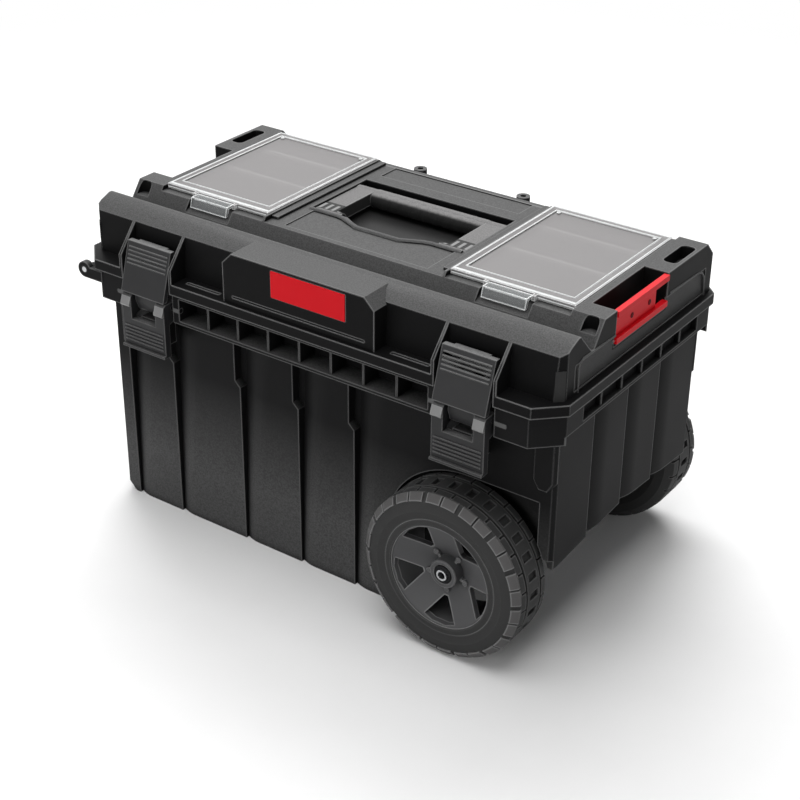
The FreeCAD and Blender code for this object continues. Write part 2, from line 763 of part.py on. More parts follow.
    holes.append(rod("tow_rod_hole", "Y", (TOW_X, f"0 - 2 * {RIM_FRONT}", TOW_Z), "tow_rod_radius",
                     f"4 * {RIM_FRONT}"))
    holes.append(rod("axle_hole", "Y", (AXLE_X, f"0 - 2 * {RIM_FRONT}", AXLE_Z), "axle_radius",
                     f"4 * {RIM_FRONT}"))

    brackets = []
    for end_name, sign in ENDS.items():
        near = f"({sign} * {ARCH_BACK})"
        far = f"({sign} * ({ARCH_BACK} - bracket_thickness))"
        low, high = (near, far) if sign < 0 else (far, near)
        brackets.append(box(f"axle_bracket_{end_name}",
                            (f"{AXLE_X} - bracket_width / 2", low, f"{AXLE_Z} - bracket_foot"),
                            (f"{AXLE_X} + bracket_width / 2", high, "notch_rise + tub_floor / 2")))

    front_flutes, front_ridges = flute_tools()
    rear_flutes = mirrored("rear_flutes", front_flutes, "Y")
    rear_ridges = mirrored("rear_flute_ridges", front_ridges, "Y")
    end_flutes, end_ridges = end_flute_tools()
    far_flutes = mirrored("far_end_flutes", end_flutes, "X")
    far_ridges = mirrored("far_end_flute_ridges", end_ridges, "X")
    front_recess = wheel_recess("front_wheel_recess", "0", f"{TUB_END} - arch_end_wall")
    rear_recess = mirrored("rear_wheel_recess", front_recess, "Y")
    front_housing = wheel_recess("front_wheel_housing", "tub_wall", TUB_END)
    rear_housing = mirrored("rear_wheel_housing", front_housing, "Y")

    inner_end = f"({TUB_END} - tub_wall)"
    cavity_plan = prism("tub_cavity_plan", "XY",
                        cropped_plan(inner_end, f"({TUB_SIDE} - tub_wall)", f"({TUB_SIDE} - tub_wall)",
                                     "tub_corner"),
                        "0", "tub_height + rim_lip")
    cavity_side = prism("tub_cavity_side", "XZ", [
        (f"0 - {inner_end}", "tub_height + rim_lip"),
        (f"0 - {inner_end}", "tub_foot_chamfer + tub_floor"),
        (f"tub_foot_chamfer - {inner_end}", "tub_floor"),
        (f"{NOTCH_START} - tub_wall", "tub_floor"),
        (f"{NOTCH_START} + notch_lean - tub_wall", "notch_rise + tub_floor"),
        (inner_end, "notch_rise + tub_floor"),
        (inner_end, "tub_height + rim_lip"),
    ], f"0 - {TUB_SIDE}", TUB_SIDE)
    cavity = cut("tub_cavity", common("tub_cavity_blank", cavity_plan, cavity_side),
                 front_ridges, rear_ridges, end_ridges, far_ridges, front_housing, rear_housing)

    rough = fuse("tub_rough", blank, apron, rim, *stops)
    carved = cut("tub_carved", rough, front_channel, rear_channel, end_skirt, end_channel, bail_bay,
                 mirrored("rim_far_end_skirt", end_skirt, "X"), *pockets, front_flutes, rear_flutes,
                 end_flutes, far_flutes, front_recess, rear_recess)
    ribbed = fuse("tub_ribbed", carved, *ribs, *cheeks, *leaves, *ears, *brackets)
    keep("tub", cut("tub", ribbed, cavity, *holes))


def build_lid():
    """Make the lid shell: ridged deck, flange, front panel, wells, bays and hinge ears."""
    section = prism("lid_section", "YZ", [
        (f"0 - {LID_SIDE} - lid_flare", FLANGE_LOW),
        (f"0 - {LID_SIDE}", f"{LID_TOP} - bevel_drop"),
        (f"ridge_crown - {LID_SIDE}", f"{LID_TOP} - ridge_crown_drop"),
        (f"bevel_width - {LID_SIDE}", LID_TOP),
        (f"0 - {GUTTER}", LID_TOP),
        (f"gutter_width / 2 - gutter_land / 2 - {GUTTER}", f"{LID_TOP} - gutter_depth"),
        (f"gutter_width / 2 + gutter_land / 2 - {GUTTER}", f"{LID_TOP} - gutter_depth"),
        (f"0 - {DECK_FRONT}", LID_TOP),
        (f"{LID_SIDE} - rear_bevel_width", LID_TOP),
        (LID_SIDE, f"{LID_TOP} - rear_bevel_drop"),
        (f"{LID_SIDE} + lid_flare", FLANGE_LOW),
    ], f"0 - {LID_END}", LID_END)
    outer_side = f"({LID_SIDE} + lid_flare)"
    plan = prism("lid_plan", "XY", cropped_plan(LID_END, outer_side, outer_side, "lid_corner"),
                 FLANGE_LOW, LID_TOP)
    block_end = f"({LID_END} - rear_block)"
    rear_step = prism("lid_rear_step", "YZ", [
        (f"{LID_SIDE} - rear_deck_margin", LID_TOP),
        (LID_SIDE, f"{LID_TOP} - rear_bevel_drop"),
        (f"{LID_SIDE} + rear_bevel_drop", f"{LID_TOP} - rear_bevel_drop"),
        (f"{LID_SIDE} + rear_bevel_drop", f"{LID_TOP} + lid_wall"),
        (f"{LID_SIDE} - rear_deck_margin", f"{LID_TOP} + lid_wall"),
    ], f"0 - {block_end}", block_end)
    shell = cut("lid_stepped", common("lid_blank", section, plan), rear_step)
    flange_end = f"({LID_END} + flange_end_reach)"
    flange = prism("lid_flange", "XY",
                   cropped_plan(flange_end, FLANGE_FRONT, FLANGE_REAR, "flange_corner"),
                   FLANGE_LOW, FLANGE_TOP)
    panel_side = "(panel_width / 2)"
    panel_top = f"({LID_TOP} - panel_drop)"
    panel_face = f"({LID_SIDE} + panel_reach)"
    panel = prism("lid_panel", "XZ", [
        (f"0 - {panel_side}", FLANGE_LOW),
        (panel_side, FLANGE_LOW),
        (panel_side, f"{panel_top} - panel_corner"),
        (f"{panel_side} - panel_corner", panel_top),
        (f"panel_corner - {panel_side}", panel_top),
        (f"0 - {panel_side}", f"{panel_top} - panel_corner"),
    ], f"0 - {panel_face}", f"bevel_width - {LID_SIDE}")
    panel_hollow = box("lid_panel_hollow",
                       (f"lid_wall - {panel_side}", f"lid_wall - {panel_face}", f"{FLANGE_LOW} - lid_wall"),
                       (f"{panel_side} - lid_wall", f"0 - {LID_SIDE} - lid_wall",
                        f"{panel_top} - panel_corner - lid_wall"))
    panel_line = box("lid_panel_line",
                     (f"panel_corner - {panel_side}", f"0 - {panel_face} - panel_line_depth",
                      f"{FLANGE_TOP} + panel_line_height - panel_line_depth"),
                     (f"{panel_side} - panel_corner", f"panel_line_depth - {panel_face}",
                      f"{FLANGE_TOP} + panel_line_height + panel_line_depth"))
    badge_seat = box("lid_badge_seat",
                     ("badge_shift - badge_width / 2", f"0 - {panel_face} - badge_thickness",
                      f"{panel_top} - badge_drop - badge_height"),
                     ("badge_shift + badge_width / 2", f"badge_seat - {panel_face}",
                      f"{panel_top} - badge_drop"))
    keep("badge_plate", box("badge_plate",
                            ("badge_shift - badge_width / 2", f"badge_seat - badge_thickness - {panel_face}",
                             f"{panel_top} - badge_drop - badge_height"),
                            ("badge_shift + badge_width / 2", f"badge_seat - {panel_face}",
                             f"{panel_top} - badge_drop")))

    added = [shell, flange, panel]
    taken = [panel_hollow, panel_line, badge_seat]
    filled = []
    holes = []
    eyelets = []
    latch_clear = f"({LATCH_BAY} + latch_fin)"
    for side_name, sign in SIDES.items():
        middle = f"({sign} * {LATCH_X})"
        taken.append(box(f"flange_latch_gap_{side_name}",
                         (f"{middle} - {LATCH_BAY}", f"0 - 2 * {FLANGE_FRONT}", f"{FLANGE_LOW} - lid_wall"),
                         (f"{middle} + {LATCH_BAY}", f"0 - {LID_SIDE} - lid_flare", f"{FLANGE_TOP}")))
        for hand in (-1, 1):
            inner = f"({middle} + {hand} * {LATCH_BAY})"
            outer = f"({middle} + {hand} * {latch_clear})"
            low, high = (outer, inner) if hand < 0 else (inner, outer)
            added.append(prism(f"latch_fin_{side_name}_{hand + 1}", "YZ", [
                (f"lid_wall / 2 - {LID_SIDE}", f"{LID_TOP} - bevel_drop"),
                (f"0 - {LID_SIDE}", f"{LID_TOP} - bevel_drop"),
                (f"0 - {FLANGE_FRONT}", f"{LID_TOP} - bevel_drop - latch_fin_drop"),
                (f"0 - {FLANGE_FRONT}", FLANGE_LOW),
                (f"lid_wall / 2 - {LID_SIDE}", FLANGE_LOW),
            ], low, high))
        added.append(box(f"latch_keeper_{side_name}",
                         (f"{middle} - keeper_width / 2", f"0 - {LID_SIDE} - keeper_reach",
                          f"{PLATE_TOP} - 2 * keeper_thickness"),
                         (f"{middle} + keeper_width / 2", f"lid_wall / 2 - {LID_SIDE}",
                          f"{PLATE_TOP} - keeper_thickness")))
        hinge = f"({sign} * {HINGE_X})"
        for hand in (-1, 1):
            near = f"({hinge} + {hand} * (hinge_leaf / 2 + hinge_side_gap))"
            far = f"({hinge} + {hand} * (hinge_leaf / 2 + hinge_side_gap + hinge_ear))"
            low, high = (far, near) if hand < 0 else (near, far)
            added.append(rod(f"hinge_ear_{side_name}_{hand + 1}", "X", (low, HINGE_Y, HINGE_Z),
                             "hinge_radius", "hinge_ear"))
            added.append(box(f"hinge_ear_arm_{side_name}_{hand + 1}",
                             (low, f"{FLANGE_REAR} - flange_skin", f"{HINGE_Z} + hinge_radius - hinge_arm"),
                             (high, HINGE_Y, f"{HINGE_Z} + hinge_radius")))
        holes.append(rod(f"hinge_ear_bore_{side_name}", "X",
                         (f"{hinge} - hinge_leaf", HINGE_Y, HINGE_Z),
                         "hinge_pin_radius + running_fit", "2 * hinge_leaf"))
        eyelet = f"({sign} * eyelet_offset)"
        eyelet_y = f"({LID_SIDE} - eyelet_margin)"
        eyelet_top = f"({LID_TOP} - eyelet_drop)"
        eyelets.append(rod(f"eyelet_{side_name}", "Z", (eyelet, eyelet_y, f"{eyelet_top} - eyelet_height"),
                           "eyelet_radius", "eyelet_height"))
        holes.append(rod(f"eyelet_bore_{side_name}", "Z",
                         (eyelet, eyelet_y, f"{eyelet_top} - eyelet_bore_depth"), "eyelet_bore",
                         "eyelet_height"))

    hollow_low = f"{FLANGE_LOW} - lid_wall"
    hollow_top = f"{FLANGE_TOP} - flange_skin"
    hollow_spans = [
        (f"0 - {LATCH_X} + {latch_clear}", f"0 - {panel_side} - lid_wall"),
        (f"{panel_side} + lid_wall", f"{LATCH_X} - {latch_clear}"),
        (f"{LATCH_X} + {latch_clear}", f"{LID_END} - flange_corner"),
        (f"flange_corner - {LID_END}", f"0 - {LATCH_X} - {latch_clear}"),
    ]
    for index, (start, stop) in enumerate(hollow_spans):
        taken.append(box(f"flange_hollow_{index}",
                         (start, f"flange_skin - {FLANGE_FRONT}", hollow_low),
                         (stop, f"0 - {LID_SIDE} - lid_flare - lid_wall", hollow_top)))
    for index, (start, stop) in enumerate(hollow_spans[:2]):
        middle = f"(({start} + {stop}) / 2)"
        slot_y = f"({LID_SIDE} + lid_flare + flange_reach / 3)"
        taken.append(box(f"ledge_slot_{index}",
                         (f"{middle} - ledge_slot_length / 2", f"0 - {slot_y} - ledge_slot_width / 2",
                          f"{FLANGE_TOP} - ledge_slot_depth"),
                         (f"{middle} + ledge_slot_length / 2", f"ledge_slot_width / 2 - {slot_y}",
                          f"{FLANGE_TOP} + ledge_slot_depth")))
    taken.append(box("flange_rear_hollow",
                     (f"flange_corner - {LID_END}", f"{LID_SIDE} + lid_flare + lid_wall", hollow_low),
                     (f"{LID_END} - flange_corner", f"{FLANGE_REAR} - flange_skin", hollow_top)))

    recess_side = "(recess_width / 2)"
    deck_clear = f"({LID_TOP} + gutter_depth)"
    taken.append(box("handle_recess", (f"0 - {recess_side}", RECESS_FRONT, RECESS_FLOOR),
                     (recess_side, RECESS_REAR, deck_clear)))
    filled.append(box("handle_recess_wall",
                      (f"0 - {recess_side} - well_wall", f"{RECESS_FRONT} - well_wall",
                       f"{RECESS_FLOOR} - well_wall"),
                      (f"{recess_side} + well_wall", f"{RECESS_REAR} + well_wall", deck_clear)))
    deck_side = f"({COVER_IN} - cover_gap - well_wall)"
    taken.append(box("deck_middle", (f"0 - {deck_side}", f"0 - {DECK_FRONT} - gutter_width / 2", DECK_Z),
                     (deck_side, FLANGE_REAR, deck_clear)))
    filled.append(box("deck_middle_floor",
                      (f"0 - {deck_side} - well_wall", f"0 - {DECK_FRONT} - gutter_width / 2",
                       f"{DECK_Z} - plate_sink - well_wall"),
                      (f"{deck_side} + well_wall", f"{LID_SIDE} - rear_deck_margin", deck_clear)))
    bay_front = f"({RECESS_FRONT} - finger_bay_reach)"
    taken.append(prism("finger_bay", "XY", [
        ("0 - finger_bay_width / 2", RECESS_FRONT),
        ("0 - finger_bay_front / 2", bay_front),
        ("finger_bay_front / 2", bay_front),
        ("finger_bay_width / 2", RECESS_FRONT),
        ("finger_bay_width / 2", f"{RECESS_FRONT} + lid_wall"),
        ("0 - finger_bay_width / 2", f"{RECESS_FRONT} + lid_wall"),
    ], RECESS_FLOOR, deck_clear))
    filled.append(box("finger_bay_wall",
                      ("0 - finger_bay_width / 2 - well_wall", f"{bay_front} - well_wall",
                       f"{RECESS_FLOOR} - well_wall"),
                      ("finger_bay_width / 2 + well_wall", RECESS_FRONT, deck_clear)))
    plate_rear = f"({RECESS_FRONT} - front_plate_ridge)"
    bay_ridge = f"({bay_front} - front_plate_ridge)"
    taken.append(prism("front_plate", "XY", [
        ("0 - plate_width / 2", f"front_plate_margin - {DECK_FRONT}"),
        ("plate_width / 2", f"front_plate_margin - {DECK_FRONT}"),
        ("plate_width / 2", plate_rear),
        ("finger_bay_width / 2 + front_plate_ridge / 2", plate_rear),
        ("finger_bay_front / 2 + front_plate_ridge / 2", bay_ridge),
        ("0 - finger_bay_front / 2 - front_plate_ridge / 2", bay_ridge),
        ("0 - finger_bay_width / 2 - front_plate_ridge / 2", plate_rear),
        ("0 - plate_width / 2", plate_rear),
    ], f"{DECK_Z} - plate_sink", deck_clear))
    rear_plate = f"({LID_SIDE} - rear_plate_margin)"
    taken.append(box("rear_plate",
                     ("0 - plate_width / 2", f"{rear_plate} - rear_plate_length", f"{DECK_Z} - plate_sink"),
                     ("plate_width / 2", rear_plate, deck_clear)))
    handle_pin_start = f"({HANDLE_OUT} - handle_knuckle)"
    right_cuts = []
    right_fills = []
    right_cuts.append(rod("handle_pin_seat_right", "X", (handle_pin_start, HANDLE_Y, HANDLE_Z),
                          "handle_pin_radius", f"{recess_side} - {handle_pin_start} + handle_pin_seat"))
    right_cuts.append(box("organiser_well",
                          (f"{COVER_IN} + well_rim", f"{COVER_FRONT} + well_rim", WELL_FLOOR),
                          (f"{COVER_OUT} - well_rim", f"{COVER_REAR} - 2 * well_rim", deck_clear)))
    right_fills.append(box("organiser_wall",
                           (f"{COVER_IN} + well_rim - well_wall", f"{COVER_FRONT} + well_rim - well_wall",
                            f"{WELL_FLOOR} - well_wall"),
                           (f"{COVER_OUT} - well_rim + well_wall",
                            f"{COVER_REAR} - 2 * well_rim + well_wall", deck_clear)))
    rebate_rear = f"({COVER_PIN_Y} + cover_swing_room)"
    right_cuts.append(box("cover_rebate",
                          (f"{COVER_IN} - cover_gap", f"gutter_land - {GUTTER}",
                           f"{COVER_LOW} - cover_gap"),
                          (f"{COVER_OUT} + cover_gap", rebate_rear, deck_clear)))
    right_fills.append(box("cover_rebate_floor",
                           (f"{COVER_IN} - cover_gap - well_wall", f"{COVER_FRONT}",
                            f"{COVER_LOW} - cover_gap - well_wall"),
                           (f"{COVER_OUT} + cover_gap + well_wall", f"{rebate_rear} + well_wall",
                            deck_clear)))
    right_cuts.append(rod("cover_pin_seat", "X", (f"{COVER_IN} - cover_pin_end", COVER_PIN_Y, COVER_PIN_Z),
                          "cover_pin_radius", "cover_width + 2 * cover_pin_end"))
    niche_low = f"({COVER_LOW} - clip_niche_gap)"
    niche_side = "(clip_width / 2 + clip_lug + 2 * cover_gap)"
    niche_front = f"({CLIP_PIN_Y} - clip_length - clip_thickness)"
    right_cuts.append(prism("clip_niche", "YZ", [
        (niche_front, f"{niche_low} - clip_fall"),
        (f"{COVER_FRONT} + well_wall", niche_low),
        (f"{COVER_FRONT} + well_wall", deck_clear),
        (niche_front, deck_clear),
    ], f"{COVER_MID} - {niche_side}", f"{COVER_MID} + {niche_side}"))
    right_fills.append(prism("clip_niche_floor", "YZ", [
        (f"{niche_front} - well_wall", f"{niche_low} - clip_fall - 2 * well_wall"),
        (f"{COVER_FRONT} + 2 * well_wall", f"{niche_low} - 2 * well_wall"),
        (f"{COVER_FRONT} + 2 * well_wall", deck_clear),
        (f"{niche_front} - well_wall", deck_clear),
    ], f"{COVER_MID} - {niche_side} - well_wall", f"{COVER_MID} + {niche_side} + well_wall"))
    right_cuts.append(box("side_bay", (BAY_IN, BAY_FRONT, BAY_FLOOR),
                          (f"{LID_END} + lid_wall", BAY_REAR, deck_clear)))
    right_fills.append(box("side_bay_wall",
                           (f"{BAY_IN} - well_wall", f"{BAY_FRONT} - well_wall", f"{BAY_FLOOR} - well_wall"),
                           (f"{LID_END}", f"{BAY_REAR} + well_wall", deck_clear)))
    right_cuts.append(rod("side_pin_seat", "Y", (SIDE_PIN_X, f"{BAY_FRONT} - side_pin_seat", SIDE_PIN_Z),
                          "side_pin_radius", f"{BAY_REAR} - {BAY_FRONT} + 2 * side_pin_seat"))
    socket_out = f"({LID_END} - socket_inset)"
    for name, start, length in (
            ("front_socket", f"(front_socket_margin - {LID_SIDE})", "front_socket_length"),
            ("rear_socket", f"({LID_SIDE} - rear_socket_margin - rear_socket_length)",
             "rear_socket_length")):
        floor = f"({LID_TOP} - socket_depth)"
        right_cuts += rounded_pocket(name, (f"{socket_out} - socket_width", start, floor),
                                     (socket_out, f"{start} + {length}", deck_clear), "socket_corner")
        right_fills.append(box(name + "_wall",
                               (f"{socket_out} - socket_width - well_wall", f"{start} - well_wall",
                                f"{floor} - well_wall"),
                               (LID_END, f"{start} + {length} + well_wall", deck_clear)))
    right_cuts.append(box("end_panel",
                          (f"{LID_END} - end_panel_recess", f"end_panel_margin - {LID_SIDE}",
                           f"{FLANGE_TOP} + lid_wall"),
                          (f"{LID_END} + end_panel_recess", f"{LID_SIDE} - end_panel_margin",
                           f"{FLANGE_TOP} + end_panel_height")))
    cuts = fuse("lid_right_cuts", *right_cuts)
    fills = fuse("lid_right_fills", *right_fills)

    inner_end = f"({LID_END} - lid_wall)"
    inner_side = f"({LID_SIDE} - lid_wall)"
    ledge_top = f"({FLANGE_LOW} + lid_ledge)"
    under_gutter = f"({LID_TOP} - gutter_depth - lid_wall)"
    roof = f"({LID_TOP} - lid_wall)"
    cavity = prism("lid_cavity", "YZ", [
        (f"0 - {inner_side}", ledge_top),
        (f"0 - {inner_side}", under_gutter),
        (f"lid_wall - {DECK_FRONT}", under_gutter),
        (f"4 * lid_wall + gutter_land - {DECK_FRONT}", roof),
        (f"{LID_SIDE} - rear_deck_margin - lid_wall", roof),
        (inner_side, f"{LID_TOP} - rear_bevel_drop - lid_wall"),
        (inner_side, ledge_top),
    ], f"0 - {inner_end}", inner_end)
    seal_out = "(tub_wall / 2 - seal_width / 2)"
    mouth_end = f"({TUB_END} - tub_wall - lid_wall)"
    mouth_side = f"({TUB_SIDE} - tub_wall - lid_wall)"
    mouth = box("lid_mouth", (f"0 - {mouth_end}", f"0 - {mouth_side}", f"{FLANGE_LOW} - lid_wall"),
                (mouth_end, mouth_side, f"{ledge_top} + lid_wall"))
    hollow = cut("lid_hollow", cavity, *filled, fills, mirrored("lid_left_fills", fills, "X"))

    seal_end = f"({TUB_END} - {seal_out})"
    seal_side = f"({TUB_SIDE} - {seal_out})"
    seal_top = f"({FLANGE_LOW} + seal_groove)"
    seal_low = f"({FLANGE_LOW} - seal_proud)"
    seal_blank = prism("seal_blank", "XY", cropped_plan(seal_end, seal_side, seal_side, "tub_corner"),
                       seal_low, seal_top)
    seal_core = prism("seal_core", "XY",
                      cropped_plan(f"({seal_end} - seal_width)", f"({seal_side} - seal_width)",
                                   f"({seal_side} - seal_width)", "tub_corner"),
                      f"{seal_low} - lid_wall", f"{seal_top} + lid_wall")
    seal = keep("lid_seal", cut("lid_seal", seal_blank, seal_core))

    solid = fuse("lid_solid", *added, *eyelets)
    keep("lid_shell", cut("lid_shell", solid, hollow, mouth, seal, cuts,
                          mirrored("lid_left_cuts", cuts, "X"), *taken, *holes))


def build_covers():
    """Make the clear covers, their pins and clips, and the dividers of the wells under them."""

    def cover(name):
        plate = box(name + "_plate", (COVER_IN, COVER_FRONT, COVER_LOW),
                    (COVER_OUT, COVER_PIN_Y, COVER_TOP))
        barrel = rod(name + "_barrel", "X", (COVER_IN, COVER_PIN_Y, COVER_PIN_Z), "cover_barrel",
                     "cover_width")
        bore = rod(name + "_bore", "X", (f"{COVER_IN} - cover_pin_end", COVER_PIN_Y, COVER_PIN_Z),
                   "cover_pin_radius + running_fit", "cover_width + 2 * cover_pin_end")
        lugs = []
        for hand in (-1, 1):
            near = f"({COVER_MID} + {hand} * (clip_width / 2 + cover_gap))"
            far = f"({COVER_MID} + {hand} * (clip_width / 2 + cover_gap + clip_lug))"
            low, high = (far, near) if hand < 0 else (near, far)
            lugs.append(box(f"{name}_lug_{hand + 1}",
                            (low, f"{CLIP_PIN_Y} - clip_stand", COVER_LOW), (high, COVER_FRONT, COVER_TOP)))
        clip_bore = rod(name + "_clip_bore", "X",
                        (f"{COVER_MID} - clip_width", CLIP_PIN_Y, f"{COVER_LOW} + clip_stand"),
                        "cover_pin_radius + running_fit", "2 * clip_width")
        pane = box(name + "_pane",
                   (f"{COVER_IN} + cover_border", f"{COVER_FRONT} + cover_front_border",
                    f"{COVER_TOP} - cover_sink"),
                   (f"{COVER_OUT} - cover_border", f"{COVER_PIN_Y} - cover_border",
                    f"{COVER_TOP} + cover_sink"))
        return cut(name, fuse(name + "_body", plate, barrel, *lugs), bore, clip_bore, pane)

    def pin(name):
        return rod(name, "X", (f"{COVER_IN} - cover_pin_end", COVER_PIN_Y, COVER_PIN_Z),
                   "cover_pin_radius", "cover_width + 2 * cover_pin_end")

    def clip(name):
        pivot_z = f"({COVER_LOW} + clip_stand)"
        flap = prism(name + "_flap", "YZ", [
            (f"{CLIP_PIN_Y} + clip_thickness / 2", f"{pivot_z} + clip_thickness / 2"),
            (f"{CLIP_PIN_Y} - 3 * clip_length / 4", f"{pivot_z} + clip_thickness / 2"),
            (f"{CLIP_PIN_Y} - clip_length", f"{pivot_z} + clip_thickness / 2 - clip_fall"),
            (f"{CLIP_PIN_Y} - 3 * clip_length / 4", f"{pivot_z} + clip_thickness / 2 - clip_fall"),
            (f"{CLIP_PIN_Y} - clip_length / 2", f"{pivot_z} - clip_thickness / 2"),
            (f"{CLIP_PIN_Y} + clip_thickness / 2", f"{pivot_z} - clip_thickness / 2"),
        ], f"{COVER_MID} - clip_width / 2", f"{COVER_MID} + clip_width / 2")
        trunnion = rod(name + "_trunnion", "X",
                       (f"{COVER_MID} - clip_width / 2 - cover_gap - clip_lug", CLIP_PIN_Y, pivot_z),
                       "cover_pin_radius", "clip_width + 2 * (cover_gap + clip_lug)")
        return fuse(name, flap, trunnion)

    both_sides("clear_cover", cover)
    both_sides("cover_pin", pin)
    both_sides("cover_clip", clip)
    for index, place_name in enumerate(("rear", "front")):

        def divider(name, row=index):
            middle = f"({COVER_REAR} - divider_rear_margin - {row} * divider_spacing)"
            return box(name,
                       (f"{COVER_IN} + well_rim + cover_gap", f"{middle} - divider_thickness / 2",
                        WELL_FLOOR),
                       (f"{COVER_OUT} - well_rim - cover_gap", f"{middle} + divider_thickness / 2",
                        f"{WELL_FLOOR} + divider_height"))

        both_sides(f"{place_name}_divider", divider)


def build_handle():
    """Make the folding carry handle, its finger grip and its two pins."""
    arms = []
    bores = []
    for side_name, sign in SIDES.items():
        inner = f"({sign} * ({HANDLE_OUT} - handle_knuckle))"
        outer = f"({sign} * {HANDLE_OUT})"
        low, high = (outer, inner) if sign < 0 else (inner, outer)
        arms.append(rod(f"handle_knuckle_{side_name}", "X", (low, HANDLE_Y, HANDLE_Z), "handle_barrel",
                        "handle_knuckle"))
        arm_in = f"({sign} * ({HANDLE_OUT} - handle_arm_width))"
        low, high = (outer, arm_in) if sign < 0 else (arm_in, outer)
        arms.append(box(f"handle_arm_{side_name}",
                        (low, HANDLE_Y, f"{HANDLE_Z} - handle_arm_thickness / 2"),
                        (high, BAR_Y, f"{HANDLE_Z} + handle_arm_thickness / 2")))
        arms.append(rod(f"handle_corner_{side_name}", "X",
                        (low, BAR_Y, HANDLE_Z), "handle_bar_radius", "handle_arm_width"))
        for index in range(KNUCKLE_SLOTS):
            slot_out = f"({HANDLE_OUT} - {index + 1} * knuckle_slot_pitch + knuckle_slot / 2)"
            slot_in = f"({HANDLE_OUT} - {index + 1} * knuckle_slot_pitch - knuckle_slot / 2)"
            near, far = (slot_out, slot_in) if sign < 0 else (slot_in, slot_out)
            bores.append(box(f"knuckle_slot_{side_name}_{index}",
                             (f"{sign} * {near}", f"{HANDLE_Y} - 2 * handle_barrel",
                              f"{HANDLE_Z} - 2 * handle_barrel"),
                             (f"{sign} * {far}", f"{HANDLE_Y} - handle_barrel + knuckle_slot_depth",
                              f"{HANDLE_Z} + 2 * handle_barrel")))
        bores.append(rod(f"handle_bore_{side_name}", "X",
                         (f"{sign} * {HANDLE_OUT} - handle_knuckle", HANDLE_Y, HANDLE_Z),
                         "handle_pin_radius + running_fit", "2 * handle_knuckle"))
    bar = rod("handle_bar", "X", (f"0 - {HANDLE_OUT}", BAR_Y, HANDLE_Z), "handle_bar_radius",
              f"2 * {HANDLE_OUT}")
    keep("carry_handle", cut("carry_handle", fuse("handle_frame", bar, *arms), *bores))

    half = f"({HANDLE_OUT} - handle_arm_width - grip_end_gap)"
    sleeve = rod("grip_sleeve", "X", (f"0 - {half}", BAR_Y, HANDLE_Z),
                 "handle_bar_radius + grip_sleeve", f"2 * {half}")
    bumps = []
    for index in range(GRIP_BUMPS):
        bump = doc.addObject("Part::Torus", f"grip_bump_{index}")
        bump.Placement = Placement(Vector(), AXIS_TURN["X"])
        place(bump, (f"{half} * {(2 * index + 1) / GRIP_BUMPS - 1}", BAR_Y, HANDLE_Z))
        drive(bump, Radius1="grip_radius - grip_bump", Radius2="grip_bump")
        bumps.append(bump)
    core = rod("grip_core", "X", (f"0 - {half} - grip_radius", BAR_Y, HANDLE_Z),
               "handle_bar_radius + running_fit", f"2 * ({half} + grip_radius)")
    keep("handle_grip", cut("handle_grip", fuse("grip_body", sleeve, *bumps), core))

    def pin(name):
        start = f"({HANDLE_OUT} - handle_knuckle)"
        return rod(name, "X", (start, HANDLE_Y, HANDLE_Z), "handle_pin_radius",
                   f"recess_width / 2 - {start} + handle_pin_seat")

    both_sides("handle_pin", pin)


def build_side_clip():
    """Make the red channel-shaped clip in the wheel end's bay, with its pin."""
    front = f"({BAY_FRONT} + side_clip_gap)"
    rear = f"({BAY_REAR} - side_clip_gap)"
    web_out = f"({SIDE_IN} + side_clip_web)"
    section = prism("side_clip_section", "XZ", [
        (SIDE_IN, SIDE_LOW),
        (SIDE_OUT, SIDE_LOW),
        (SIDE_OUT, f"{SIDE_LOW} + side_clip_flange"),
        (web_out, f"{SIDE_LOW} + side_clip_flange"),
        (web_out, f"{SIDE_TOP} - side_clip_flange"),
        (SIDE_OUT, f"{SIDE_TOP} - side_clip_flange"),
        (SIDE_OUT, SIDE_TOP),
        (SIDE_IN, SIDE_TOP),
    ], front, rear)
    notch = box("side_clip_notch_tool",
                (f"{SIDE_IN} - side_clip_web", f"{rear} - side_clip_notch", f"{SIDE_LOW} + side_clip_flange"),
                (f"{SIDE_OUT} + side_clip_web", f"{rear} + side_clip_gap", f"{SIDE_TOP} - side_clip_flange"))
    bore = rod("side_clip_bore", "Y", (SIDE_PIN_X, f"{front} - side_clip_gap", SIDE_PIN_Z),
               "side_pin_radius + running_fit", f"{rear} - {front} + 2 * side_clip_gap")
    keep("side_clip", cut("side_clip", section, notch, bore))
    keep("side_clip_pin", rod("side_clip_pin", "Y", (SIDE_PIN_X, f"{BAY_FRONT} - side_pin_seat", SIDE_PIN_Z),
                              "side_pin_radius", f"{BAY_REAR} - {BAY_FRONT} + 2 * side_pin_seat"))


